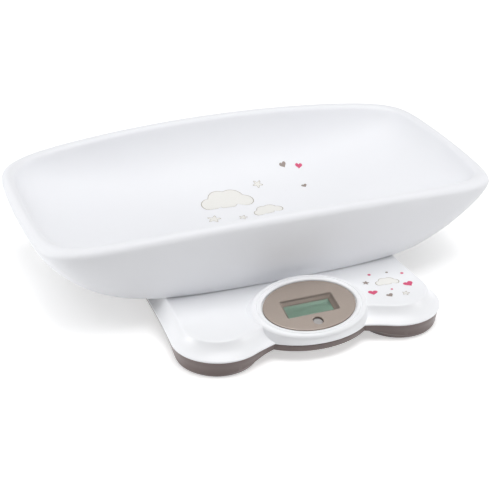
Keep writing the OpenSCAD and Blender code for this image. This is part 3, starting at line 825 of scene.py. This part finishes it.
@dataclass
class BaseShells:
    """The white upper shell with its display pod and studs, and the brown lower shell."""

    # Outline from above: two lobes in front, two behind, a waist at each side
    lobe_x: float = 107.8
    lobe_r: float = 54.4
    front_y: float = -152.6
    rear_y: float = 122.6
    waist_x: float = 157.0
    front_notch: float = 27.0
    rear_notch: float = 20.0
    # Upper shell: inset and height of its rounded lower edge, then the slope as shares of its size
    split_z: float = 21.5
    top_z: float = 38.7
    rim_edge: Flats = ((0.6, 0), (0.15, 0.3), (0.0, 0.8))
    shoulder_w: float = 15.0
    shoulder_lean: float = 5.0
    slope: Flats = (
        (0.02, 0.06), (0.28, 0.19), (0.53, 0.39), (0.73, 0.64), (0.85, 0.88), (0.9, 0.96), (1, 1)
    )
    top_inset: float = 0.5
    # Inset and height of the space inside it
    inside: Flats = (
        (3.4, 20.5), (3.4, 21.9), (5.9, 23.2), (9.9, 26.6), (13.2, 31.4), (14.8, 35.2), (15.4, 35.7)
    )
    # Display pod, and the plate that tilts in it
    pod_a: float = 82.0
    pod_front_b: float = 68.5
    pod_back_b: float = 50.0
    pod_y: float = -138.2
    panel_y: float = -157.2
    panel_z: float = 43.0
    panel_tilt: float = 14.3
    panel_a: float = 55.0
    panel_b: float = 38.8
    # Growth to the sides, growth to front and back, and height over the plate: from the pod's wall
    # over its top, then the groove, the ring's crest and the pocket's wall and ledge
    crown: Rows = ((15, 11, -4.2), (13.6, 10.8, -1.6), (11.4, 9.8, 0), (8.8, 8.2, 0.75))
    lip: Rows = (
        (7.5, 7.2, 0.85), (6.9, 6.7, 0.25), (6.2, 6.0, 0.25), (5.7, 5.5, 0.9), (5.0, 4.9, 1.1),
        (3.8, 3.8, 1.05), (2.9, 2.9, 0.8), (2.1, 2.1, 0.35), (1.5, 1.5, -0.2), (1.2, 1.2, -0.8),
        (1.2, 1.2, -2.6), (-4.5, -4.5, -2.6)
    )
    # Growth and height of the space round the plate's ledge
    pocket: Flats = ((5, -32), (5, -5.6), (-4, -5.6), (-4, -2.55), (0.4, -2.55), (0.4, 20))
    # Studs: places from the tray's middle, then radius and height
    stud_x: float = 80.0
    stud_y: float = 65.0
    tray_y: float = 47.0
    stud: Flats = (
        (0.0, -0.5), (5.7, -0.5), (5.5, 0.2), (5.5, 5.2), (5.2, 5.9), (4.6, 6.4), (3.8, 6.5),
        (0.0, 6.5)
    )
    # Screws between the shells: their posts, and radius and height of the cups and holes below
    screw_spots: Flats = ((62, -95), (-62, -95), (140, -15), (-140, -15), (40, 125), (-40, 125))
    screw_r: float = 1.55
    post_r: float = 3.8
    post_foot: float = 5.5
    post_drop: float = 1.5
    cup: Flats = ((0, 0), (6, 0), (6, 5), (0, 5))
    screw_hole: Flats = ((0, -1), (3.8, -1), (3.8, 3), (1.7, 3), (1.7, 7), (0, 7))
    # Lower shell: inset and height over the belly of its rounded edge
    belly_z: float = 13.5
    belly_edge: Flats = ((4.6, 0), (3.4, 0.3), (2.6, 0.9), (2.1, 1.8), (1.7, 8.0))
    # How far it stands out and hangs lower under the display
    pod_belly: Flat = (1.0, 0.8)
    floor_t: float = 2.5
    floor_lap: float = 0.5
    wall_inset: float = 4.6
    room_h: float = 10.0
    # Foot pods: their middles, as a share of the lobes' X and a step outward in Y, then inset and
    # height of their outer side, and radius and height of their sweep and hollow
    pod_out: Flat = (1.03, 2.9)
    pod_side: Flats = ((8.4, 0.9), (6.2, 1.2), (4.9, 2.4), (4.1, 4.2), (3.8, 6.5))
    pod_side_top: Flats = ((2.1, 17.5), (2.0, 19.7))
    pod_sweep: Flats = (
        (42, 0.8), (44.4, 1.2), (46, 2.8), (47.6, 5.6), (49.8, 8.4), (52.5, 10.6), (56, 12.2),
        (60, 13.1), (66, 13.7)
    )
    pod_sweep_top: Flats = ((70.4, 16.5), (0.0, 16.5))
    pod_hollow: Flats = (
        (0, 4.6), (39, 4.6), (41, 6), (45, 10), (49.4, 17.5), (49.4, 22.5), (0, 22.5)
    )
    ear_x: float = 27.0
    ear: Flats = ((0, 4.0), (3.2, 4.0), (3.2, 9.0), (0, 9.0))
    foot_hole: Flats = ((0, -1), (20.7, -1), (20.7, 7), (0, 7))
    # Battery bay with its two hook slots and the finger hollow at its latch
    bay_l: float = 63.0
    bay_w: float = 54.0
    bay_y: float = 10.0
    bay_wall: float = 1.8
    bay_top_z: float = 31.0
    hook_x: float = 15.3
    hook_w: float = 2.5
    hook_y: Flat = (-1.0, 3.0)
    hook_z: Flat = (2.5, 5.9)
    finger_r: float = 12.0
    finger_x: float = 10.0
    finger_y: float = 1.0
    finger_drop: float = 10.6

    def __post_init__(self) -> None:
        """Places the lobes' middles, and the pods a little further out."""
        lobes, (share, step) = (-self.lobe_x, self.lobe_x), self.pod_out
        self.corners = [(x, y) for x in lobes for y in (self.front_y, self.rear_y)]
        self.pod_centres = [(x * share, y + math.copysign(step, y)) for x, y in self.corners]

    def outline(self, inset: float, lean: float = 0.0) -> list[Flat]:
        """Gives the base's outline from above.

        Args:
            inset: how far it is moved inward.
            lean: how far the front lobes are moved back.

        Returns:
            Points round it.
        """
        lobe_n, side_n, notch_n = 56, 20, 36
        front_y, r = self.front_y + lean, self.lobe_r - inset
        mid_y, half = (front_y + self.rear_y) / 2, (self.rear_y - front_y) / 2
        w = self.waist_x - self.lobe_x
        side_r = (w * w + half * half - self.lobe_r**2) / (2 * (self.lobe_r - w))
        side_x = self.waist_x + side_r
        b = math.degrees(math.atan2(half, w + side_r))
        f, k = self.front_notch, self.rear_notch
        (front_cos, front_sin), (rear_cos, rear_sin) = direction(f), direction(k)
        front_r = self.lobe_x / front_sin - self.lobe_r
        rear_r = self.lobe_x / rear_sin - self.lobe_r
        front_c = front_y - (front_r + self.lobe_r) * front_cos
        rear_c = self.rear_y + (rear_r + self.lobe_r) * rear_cos
        arcs = (
            (self.lobe_x, front_y, r, 270 - f, 360 + b, lobe_n),
            (side_x, mid_y, side_r + inset, 180 + b, 180 - b, side_n),
            (self.lobe_x, self.rear_y, r, -b, 90 + k, lobe_n),
            (0.0, rear_c, rear_r + inset, 270 + k, 270 - k, notch_n),
            (-self.lobe_x, self.rear_y, r, 90 - k, 180 + b, lobe_n),
            (-side_x, mid_y, side_r + inset, b, -b, side_n),
            (-self.lobe_x, front_y, r, 180 - b, 270 + f, lobe_n),
            (0.0, front_c, front_r + inset, 90 + f, 90 - f, notch_n),
        )
        out: list[Flat] = []
        for x, y, radius, start, end, n in arcs:
            for c, s in map(direction, spread(start, end, n)[:-1]):
                out.append((x + radius * c, y + radius * s))
        return out

    def level(self, inset: float, z: float, lean: float = 0.0) -> Ring:
        """Gives the outline as a ring at a height."""
        return [(x, y, z) for x, y in self.outline(inset, lean)]

    def pod_ring(self, inset: float, z: float, n: int = 240) -> Ring:
        """Gives the display pod's ring at a height, moved inward."""
        front, back = self.pod_front_b - inset, self.pod_back_b - inset
        return [
            (x, self.pod_y + s * (front if s < 0 else back), z)
            for x, s in circle(self.pod_a - inset, 1, n)
        ]

    def panel_point(self, u: float, v: float, h: float) -> Point:
        """Gives a point measured along the display plate: right, back and out of its face."""
        c, s = direction(self.panel_tilt)
        return u, self.panel_y + v * c - h * s, self.panel_z + v * s + h * c

    def panel_ring(self, grow_a: float, grow_b: float, h: float, n: int = 240) -> Ring:
        """Gives a ring round the display plate, wider than its edge."""
        flat = circle(self.panel_a + grow_a, self.panel_b + grow_b, n)
        return [self.panel_point(u, v, h) for u, v in flat]

    def upper_body(self) -> Skin:
        """Builds the lobed body up to its flat top."""
        foot = self.split_z + self.rim_edge[-1][1]
        slope = [
            self.level(self.shoulder_w * w, foot + (self.top_z - foot) * h, self.shoulder_lean * w)
            for w, h in self.slope
        ]
        return Skin().loft(
            [self.level(w, self.split_z + h) for w, h in self.rim_edge]
            + smooth_rings(slope, 5)
            + [self.level(self.shoulder_w + self.top_inset, self.top_z, self.shoulder_lean)]
        )

    def display_pod(self) -> Skin:
        """Builds the raised oval that carries the display, down into the plate's pocket."""
        off_the_split = 0.02
        edge = [self.pod_ring(w, self.split_z + max(h, off_the_split)) for w, h in self.rim_edge]
        return Skin().loft(
            edge[:-1]
            + smooth_rings(edge[-1:] + [self.panel_ring(*row) for row in self.crown], 6)
            + [self.panel_ring(*row) for row in self.lip]
        )

    def upper_hollow(self) -> Skin:
        """Builds the space inside the upper shell, open downward. It follows the slope."""
        lean = self.shoulder_lean / self.shoulder_w
        return Skin().loft([self.level(w, z, lean * w) for w, z in self.inside])

    def plate_pocket(self) -> Skin:
        """Builds the space over and under the plate's ledge."""
        return Skin().loft([self.panel_ring(grow, grow, h) for grow, h in self.pocket])

    def upper_shell(self) -> Object:
        """Builds the white shell: body and pod grown together, hollowed from below."""
        shell = add_piece("upper_shell", self.upper_body(), BASE_WHITE)
        work(shell, Joint.ADD, self.display_pod(), "display_pod")
        work(shell, Joint.CUT, self.upper_hollow(), "upper_hollow")
        work(shell, Joint.CUT, self.plate_pocket(), "plate_pocket")
        shade(shell.data, smooth=28.0)
        return shell

    def upper_fittings(self) -> Object:
        """Builds the four studs that the tray's sockets drop over, and the screw posts inside."""
        skin = Skin()
        for x, y in mirrored(self.stud_x, self.stud_y):
            skin.lathe((x, self.tray_y + y, self.top_z), self.stud)
        low, high = self.belly_z + self.post_foot, self.top_z - self.post_drop
        hole, outer = self.screw_r, self.post_r
        post = [(hole, high), (hole, low), (outer, low), (outer, high), (hole, high)]
        for x, y in self.screw_spots:
            skin.lathe((x, y, 0), post, n=32)
        return add_piece("upper_fittings", skin, BASE_WHITE)

    def lower_skin(self) -> Object:
        """Builds the brown shell's outside: a belly under both outlines and four pods."""
        z, (out, down) = self.belly_z, self.pod_belly
        belly = Skin().loft([self.level(w, z + h) for w, h in self.belly_edge])
        pod_belly = Skin().loft([self.pod_ring(w - out, z + h - down) for w, h in self.belly_edge])
        side = Skin().loft(
            smooth_rings([self.level(w, z) for w, z in self.pod_side], 3)
            + [self.level(w, z) for w, z in self.pod_side_top]
        )
        curve = smooth_rings([[(r, 0.0, z)] for r, z in self.pod_sweep], 4)
        profile = [(0.0, self.pod_sweep[0][1])] + [(ring[0][0], ring[0][2]) for ring in curve]
        sweeps = Skin()
        for x, y in self.pod_centres:
            sweeps.lathe((x, y, 0), profile + list(self.pod_sweep_top), n=120)
        shell = add_piece("lower_shell", belly, SHELL_BROWN)
        pods = add_piece("pods", side, SHELL_BROWN)
        work(pods, Joint.TRIM, sweeps, "pod_sweeps")
        work(shell, Joint.ADD, pod_belly, "pod_belly")
        work(shell, Joint.ADD, pods)
        return shell

    def bay(self, grow: float, low: float, high: float) -> tuple[Point, Point]:
        """Gives two corners of the battery bay, grown to the sides, between two heights."""
        x, y = self.bay_l / 2 + grow, self.bay_y - grow
        return (-x, y, low), (x, self.bay_y + self.bay_w + grow, high)

    def lower_fittings(self) -> Skin:
        """Builds the screw cups, the battery bay's walls and the posts under the load cells."""
        skin, low = Skin(), self.belly_z + self.floor_lap
        for x, y in self.screw_spots:
            skin.lathe((x, y, low), self.cup, n=40)
        skin.block(*self.bay(self.bay_wall, low, self.bay_top_z + self.bay_wall))
        for x, y in self.corners:
            for ear_x in (-self.ear_x, self.ear_x):
                skin.lathe((x + ear_x, y, 0), self.ear, n=24)
        return skin

    def holes(self) -> Skin:
        """Builds what is cut out from below: foot holes, screw holes and the battery bay."""
        skin = Skin()
        for x, y in self.corners:
            skin.lathe((x, y, 0), self.foot_hole, n=96)
        for x, y in self.screw_spots:
            skin.lathe((x, y, self.belly_z), self.screw_hole, n=32)
        return skin.block(*self.bay(0.0, self.belly_z - PAST, self.bay_top_z))

    def slots(self) -> Skin:
        """Builds the slots for the door's hooks and the finger hollow at its latch."""
        skin, y, z = Skin(), self.bay_y + self.bay_w, self.belly_z
        w, (near, far), (low, high) = self.hook_w, self.hook_y, self.hook_z
        for x in (-self.hook_x, self.hook_x):
            skin.block((x - w, y + near, z + low), (x + w, y + far, z + high))
        y, z = self.bay_y + self.finger_y, self.belly_z - self.finger_drop
        round_tip = circle(self.finger_r, self.finger_r, 64)
        ends = (-self.finger_x, self.finger_x)
        return skin.loft([[(x, y + v, z + h) for v, h in round_tip] for x in ends])

    def lower_shell(self) -> Object:
        """Builds the brown shell: its outside, hollowed from above, with its fittings and holes."""
        shell = self.lower_skin()
        w, low, off_the_floor = self.wall_inset, self.belly_z + self.floor_t, 0.01
        high = low + self.room_h
        room = Skin().loft([self.level(w, z) for z in (low, high)])
        pod_room = Skin().loft([self.pod_ring(w, z) for z in (low + off_the_floor, high)])
        hollows = Skin()
        for x, y in self.corners:
            hollows.lathe((x, y, 0), self.pod_hollow, n=96)
        for joint, skin, name in (
            (Joint.CUT, room, "room"),
            (Joint.CUT, pod_room, "pod_room"),
            (Joint.CUT, hollows, "hollows"),
            (Joint.ADD, self.lower_fittings(), "fittings"),
            (Joint.CUT, self.holes(), "holes"),
            (Joint.CUT, self.slots(), "slots"),
        ):
            work(shell, joint, skin, name)
        shade(shell.data, smooth=28.0)
        return shell

    def build(self) -> None:
        """Builds both shells."""
        carry(self.upper_shell(), "base", "white_shell", "top_housing")
        carry(self.upper_fittings(), "base", "white_shell", "top_housing")
        carry(self.lower_shell(), "base", "brown_shell", "bottom_housing")


# Display


@dataclass
class DisplayAssembly:
    """The lacquered oval plate with its window, and the display and electronics under it."""

    base: BaseShells
    # Growth and height of the plate's rounded edge
    plate_edge: Flats = ((0, -2.6), (0, -0.7), (-0.1, -0.35), (-0.35, -0.1), (-0.7, 0), (-1.3, 0))
    window: Flat = (64.2, 28.9)
    glass: Flat = (55.0, 20.6)
    glass_h: float = -6.4
    # Growth, corner radius and height of the window's sharp chamfer, and of the wall's outer edge
    chamfer: Rows = ((-1.6, 1.4, -0.9), (0.6, 2.2, 0.1))
    well_top: Point = (3.0, 3.0, -1.6)
    well_foot: Flat = (7.0, 1.6)
    glass_r: float = 0.8
    button_v: float = -25.5
    # Radius and height of the button's hole
    button_hole: Flats = ((6.0, -4.0), (6.0, -0.35), (6.5, 0.15))
    # Posts under the plate
    post_u: float = 34.0
    post_v: float = 19.0
    post_r: float = 2.8
    post_h: Flat = (-1.0, -12.5)

    def rounded(self, size: Flat, grow: float, r: float, h: float, n: int = 10) -> Ring:
        """Gives a rectangle with round corners as a ring on the display plate.

        Args:
            size: its length and width.
            grow: how much longer and wider it is made.
            r: the corners' radius.
            h: its height over the plate's face.
            n: how many points each corner has.

        Returns:
            The ring.
        """
        u, v = (size[0] + grow) / 2 - r, (size[1] + grow) / 2 - r
        out: Ring = []
        for cx, cy, start in ((1, 1, 0), (-1, 1, 90), (-1, -1, 180), (1, -1, 270)):
            for c, s in map(direction, spread(start, start + 90, n - 1)):
                out.append(self.base.panel_point(cx * u + r * c, cy * v + r * s, h))
        return out

    def disc(self, u: float, v: float, r: float, h: float, n: int = 64) -> Ring:
        """Gives a ring round a point of the display plate."""
        return [self.base.panel_point(u + x, v + y, h) for x, y in circle(r, r, n)]

    def plate(self) -> Object:
        """Builds the plate: rounded at its edge, with a chamfered window and a button hole."""
        skin = Skin().loft([self.base.panel_ring(grow, grow, h) for grow, h in self.plate_edge])
        depths = (self.glass_h - PAST, self.glass_h)
        mouth = Skin().loft(
            [self.rounded(self.glass, 0, self.glass_r, h) for h in depths]
            + [self.rounded(self.window, *row) for row in self.chamfer]
        )
        hole = Skin().loft([self.disc(0, self.button_v, r, h) for r, h in self.button_hole])
        plate = add_piece("display_plate", skin, BEZEL_LACQUER)
        work(plate, Joint.CUT, mouth, "window_cut")
        work(plate, Joint.CUT, hole, "button_cut")
        shade(plate.data, smooth=22.0)
        return plate

    def well(self) -> Object:
        """Builds the window's sloping walls under the plate, down to the sheet, and four posts."""
        skin = Skin().loft(
            [
                self.rounded(self.window, *self.chamfer[0]),
                self.rounded(self.glass, 0, self.glass_r, self.glass_h),
                self.rounded(self.glass, *self.well_foot, self.glass_h),
                self.rounded(self.window, *self.well_top),
            ],
            closed=False,
        )
        for u, v in mirrored(self.post_u, self.post_v):
            skin.loft([self.disc(u, v, self.post_r, h, n=24) for h in self.post_h])
        return add_piece("window_well", skin, BEZEL_LACQUER, smooth=40.0)

    def build(self) -> None:
        """Builds the plate and dresses everything under it."""
        carry(self.plate(), "base", "bezel_plastic", "display_bezel")
        carry(self.well(), "base", "bezel_plastic", "display_bezel")
        dress_nodes(LENS_CLEAR, "display_lens")
        dress_nodes(LCD_GREEN, "lcd_panel")
        dress_nodes(INNER_NATURAL, "lcd_frame")
        dress_nodes(STRIP_PINK, "elastomer_strips")
        dress_nodes(MASK_GREEN, "main_board")
        dress_nodes(EPOXY_BLACK, "board_parts", "tact_switch")
        dress_nodes(BUTTON_GREY, "power_button")


# Feet, batteries and fasteners


class Corner(Enum):
    """The four corners that have a load cell, its holder, its foot and its lead."""

    FRONT_LEFT = "front_left"
    FRONT_RIGHT = "front_right"
    REAR_LEFT = "rear_left"
    REAR_RIGHT = "rear_right"


@dataclass
class Underside:
    """What sits in and under the lower shell."""

    batteries: int = 4

    def build(self) -> None:
        """Dresses the feet, load cells, leads, batteries, contacts, door and screws."""
        for corner in Corner:
            dress_nodes(FOOT_RUBBER, f"foot_pad_{corner.value}")
            dress_nodes(FOOT_BROWN, f"foot_cup_{corner.value}")
            dress_nodes(INNER_NATURAL, f"cell_holder_{corner.value}")
            dress_nodes(CELL_STEEL, f"load_cell_{corner.value}")
            dress_nodes(LEAD_GREY, f"sensor_lead_{corner.value}")
        for index in range(1, self.batteries + 1):
            dress_nodes(JACKET_FILM, f"battery_{index}")
        dress_nodes(CONTACT_NICKEL, "battery_springs", "battery_plates")
        dress_nodes(SHELL_BROWN, "battery_door")
        dress_nodes(LEAD_RED, "battery_leads")
        dress_nodes(SCREW_ZINC, "housing_screws", "board_screws", "holder_screws")


# Printed motifs


class Motif(Enum):
    """The plain shapes of the prints."""

    CLOUD = "cloud"
    STAR = "star"
    HEART = "heart"
    DOT = "dot"

    def outline(self, n: int = 72) -> list[Flat]:
        """Gives the shape's outline, about one unit wide, as points round its middle.

        Args:
            n: how many points.

        Returns:
            The outline, counter-clockwise.
        """
        if self is Motif.DOT:
            return circle(0.5, 0.5, n)
        if self is Motif.HEART:
            return [self.heart(math.tau * i / n) for i in range(n)]
        reach = self.cloud if self is Motif.CLOUD else self.star
        return [(reach(c, s) * c, reach(c, s) * s) for c, s in circle(1, 1, n)]

    @staticmethod
    def cloud(c: float, s: float) -> float:
        """Gives how far a cloud of five puffs on a flat base reaches in a direction.

        Args:
            c: the direction's cosine.
            s: its sine.

        Returns:
            The reach from the cloud's middle.
        """
        reach, base = 0.05, 0.2
        for x, y, r in (
            (-0.28, -0.06, 0.17), (-0.1, 0.09, 0.19), (0.12, 0.07, 0.21), (0.31, -0.05, 0.16),
            (0.0, -0.08, 0.16),
        ):
            along, off = x * c + y * s, abs(x * s - y * c)
            if off < r:
                reach = max(reach, along + math.sqrt(r * r - off * off))
        return min(reach, base / -s) if s < 0 else reach

    @staticmethod
    def star(c: float, s: float) -> float:
        """Gives how far a star of five round points reaches in a direction."""
        inner, point, sharp = 0.22, 0.28, 1.3
        turn = math.atan2(s, c) / math.tau
        return inner + point * (abs((5 * turn + 0.25) % 1 - 0.5) * 2) ** sharp

    @staticmethod
    def heart(t: float) -> Flat:
        """Gives a heart's point at an angle, from the usual curve 34 wide."""
        x = 16 * math.sin(t) ** 3
        y = 13 * math.cos(t) - 5 * math.cos(2 * t) - 2 * math.cos(3 * t) - math.cos(4 * t)
        return -x / 34, (y + 2) / 34


@dataclass(frozen=True)
class Mark:
    """One printed shape: its kind, place, width and turn, and its inks."""

    motif: Motif
    x: float
    y: float
    size: float
    turn: float
    fill: Finish
    line: Finish | None = None


@dataclass
class PrintedMotifs:
    """Thin films of ink on the tray's floor and on the base, in plain shapes."""

    tray: MouldedTray
    base: BaseShells
    film: float = 0.12
    line_w: float = 1.1
    line_lift: float = 0.06
    # Shares of the shape's size at which the film has rings, so that it follows a curved floor
    film_rings: tuple[float, ...] = (1.0, 0.75, 0.5, 0.25, 0.02)
    floor_marks: tuple[Mark, ...] = (
        Mark(Motif.CLOUD, -4, 104, 76, -4, INK_FILL, INK_LINE),
        Mark(Motif.CLOUD, 38, 66, 44, 6, INK_FILL, INK_LINE),
        Mark(Motif.STAR, -34, 66, 19, 12, INK_FILL, INK_LINE),
        Mark(Motif.STAR, 48, 126, 15, -8, INK_FILL, INK_LINE),
        Mark(Motif.STAR, 2, 58, 12, 4, INK_FILL, INK_LINE),
        Mark(Motif.HEART, 93, 148, 10, 14, INK_TAUPE),
        Mark(Motif.HEART, 113, 142, 10, -16, INK_ROSE),
        Mark(Motif.HEART, 106, 106, 8, 8, INK_TAUPE),
    )
    base_marks: tuple[Mark, ...] = (
        Mark(Motif.CLOUD, 108, -134, 32, -6, INK_FILL, INK_LINE),
        Mark(Motif.HEART, 130, -148, 13, 10, INK_ROSE),
        Mark(Motif.HEART, 82, -152, 12, -14, INK_ROSE),
        Mark(Motif.HEART, 98, -164, 9, 12, INK_TAUPE),
        Mark(Motif.STAR, 117, -166, 10, 4, INK_FILL, INK_LINE),
        Mark(Motif.STAR, 84, -128, 9, 10, INK_TAUPE),
        Mark(Motif.DOT, 96, -112, 4, 0, INK_ROSE),
        Mark(Motif.DOT, 118, -114, 3.4, 0, INK_TAUPE),
        Mark(Motif.DOT, 134, -122, 4, 0, INK_ROSE),
        Mark(Motif.DOT, 106, -152, 3, 0, INK_ROSE),
    )

    def lay(self, x: float, y: float, on_tray: bool, lift: float) -> Point:
        """Lays a point on the tray's floor or on the base's top face."""
        if on_tray:
            return x, y, self.tray.basin_z(x, y - self.tray.centre_y) + lift
        return x, y, self.base.top_z + lift

    def mark(self, mark: Mark, on_tray: bool, number: int) -> None:
        """Builds one mark: its filled shape and, where it has one, its line.

        Args:
            mark: the mark.
            on_tray: whether it is on the tray's floor, not on the base.
            number: its number there, for its name.
        """
        turn = Matrix.Rotation(math.radians(mark.turn), 2)
        flat = [turn @ Vector(p) * mark.size for p in mark.motif.outline()]
        place = "floor" if on_tray else "lobe"
        body, slot = ("tray", "tray_plastic") if on_tray else ("base", "white_shell")
        layers = [("fill", mark.fill, self.film_rings, self.film)]
        if mark.line:
            inner = 1.0 - 2 * self.line_w / mark.size
            layers.append(("line", mark.line, (1.0, inner), self.film + self.line_lift))
        for kind, finish, scales, lift in layers:
            rings = [
                [self.lay(mark.x + p.x * k, mark.y + p.y * k, on_tray, lift) for p in flat]
                for k in scales
            ]
            name = f"{place}_{mark.motif.value}_{number}_{kind}"
            carry(add_piece(name, Skin().loft(rings, closed=False), finish), body, slot)

    def build(self) -> None:
        """Prints the marks on the tray's floor and on the right front lobe."""
        for number, mark in enumerate(self.floor_marks, 1):
            self.mark(mark, True, number)
        for number, mark in enumerate(self.base_marks, 1):
            self.mark(mark, False, number)


# Studio


@dataclass(frozen=True)
class Lamp:
    """One large soft lamp that points at the object: place and size in metres, power in watts."""

    name: str
    place: Point
    size: float
    power: float

    def hang(self) -> None:
        """Hangs the lamp."""
        data = bpy.data.lights.new(self.name, "AREA")
        data.shape = "SQUARE"
        data.size = self.size
        data.energy = self.power
        made = add_object(self.name, data)
        made.location = self.place
        made.rotation_euler = (-Vector(self.place)).to_track_quat("-Z", "Y").to_euler()


@dataclass
class Studio:
    """A plain pale floor, even light all round, an overhead lamp and a low one at each side."""

    floor_half: float = 4.0
    floor_glow: float = 0.5
    floor_roughness: float = 0.9
    floor_specular: float = 0.1
    fill_strength: float = 0.25
    lamps: tuple[Lamp, ...] = (
        Lamp("overhead_lamp", (0.1, -0.4, 2.5), 1.8, 45.0),
        Lamp("left_lamp", (-1.8, 0.3, 0.25), 0.8, 13.0),
        Lamp("right_lamp", (1.4, -0.9, 0.4), 0.6, 4.5),
    )

    def seen(self, tree: NodeTree, low: float, high: float) -> NodeSocket:
        """Gives high for rays that show the background, and low for all others.

        Args:
            tree: the node tree that gets the nodes.
            low: the value for light that falls on the object.
            high: the value for rays from the camera, off gloss and through glass.

        Returns:
            The value's socket.
        """
        path = add_node(tree, "ShaderNodeLightPath").outputs
        value = path["Is Camera Ray"]
        for ray in ("Is Glossy Ray", "Is Transmission Ray"):
            inputs = {0: value, 1: path[ray]}
            value = add_node(tree, "ShaderNodeMath", inputs, operation="MAXIMUM").outputs["Value"]
        inputs = {"Value": value, "To Min": low, "To Max": high}
        return add_node(tree, "ShaderNodeMapRange", inputs).outputs["Result"]

    def world(self) -> None:
        """Makes the even light, and white where the world itself is seen."""
        world = bpy.data.worlds.new("studio_light")
        tree = fresh_tree(world)
        inputs = {"Color": WHITE, "Strength": self.seen(tree, self.fill_strength, 1.0)}
        light = add_node(tree, "ShaderNodeBackground", inputs)
        add_node(tree, "ShaderNodeOutputWorld", {"Surface": light.outputs["Background"]})
        bpy.context.scene.world = world

    def floor(self) -> None:
        """Builds the floor: pale paper that shows white except in the object's shadow."""
        material = bpy.data.materials.new("studio_paper")
        tree = fresh_tree(material)
        inputs = {
            "Base Color": linear(PAPER_COLOUR), "Roughness": self.floor_roughness,
            "Specular IOR Level": self.floor_specular, "Emission Color": WHITE,
            "Emission Strength": self.seen(tree, 0.0, self.floor_glow),
        }
        paper = add_node(tree, "ShaderNodeBsdfPrincipled", inputs)
        add_node(tree, "ShaderNodeOutputMaterial", {"Surface": paper.outputs["BSDF"]})
        h = self.floor_half / MM
        sheet = Skin([(-h, -h, 0), (h, -h, 0), (h, h, 0), (-h, h, 0)], [(0, 1, 2, 3)])
        floor = add_object("studio_floor", sheet.mesh("studio_floor"))
        floor.data.materials.append(material)

    def build(self) -> None:
        """Sets the light, the floor and the plain view."""
        self.world()
        self.floor()
        for lamp in self.lamps:
            lamp.hang()
        bpy.context.scene.view_settings.view_transform = "Standard"


@dataclass
class PhotoCamera:
    """The photograph's view: angles in degrees, distance, target, lens and sensor in millimetres."""

    azimuth: float = -21.12
    elevation: float = 28.11
    distance: float = 1661.1
    target: Point = (-1.13, 26.3, 21.81)
    lens: float = 95.85
    sensor: float = 36.0

    def build(self) -> None:
        """Places the camera and makes it the scene's own."""
        data = bpy.data.cameras.new("photo_camera")
        data.sensor_fit = "HORIZONTAL"
        data.sensor_width = self.sensor
        data.lens = self.lens
        (ahead, aside), (level, up) = direction(self.azimuth), direction(self.elevation)
        back = Vector((aside * level, -ahead * level, up))
        camera = add_object("photo_camera", data)
        camera.location = (Vector(self.target) + back * self.distance) * MM
        camera.rotation_euler = (-back).to_track_quat("-Z", "Y").to_euler()
        bpy.context.scene.camera = camera


def main() -> None:
    """Builds the assemblies in order and reports each piece."""
    logging.basicConfig(level=logging.INFO, format="%(name)s %(message)s")
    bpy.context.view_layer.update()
    PhotoCamera().build()
    Studio().build()
    tray = MouldedTray()
    tray.build()
    base = BaseShells()
    base.build()
    DisplayAssembly(base).build()
    Underside().build()
    PrintedMotifs(tray, base).build()


if __name__ == "__main__":
    main()
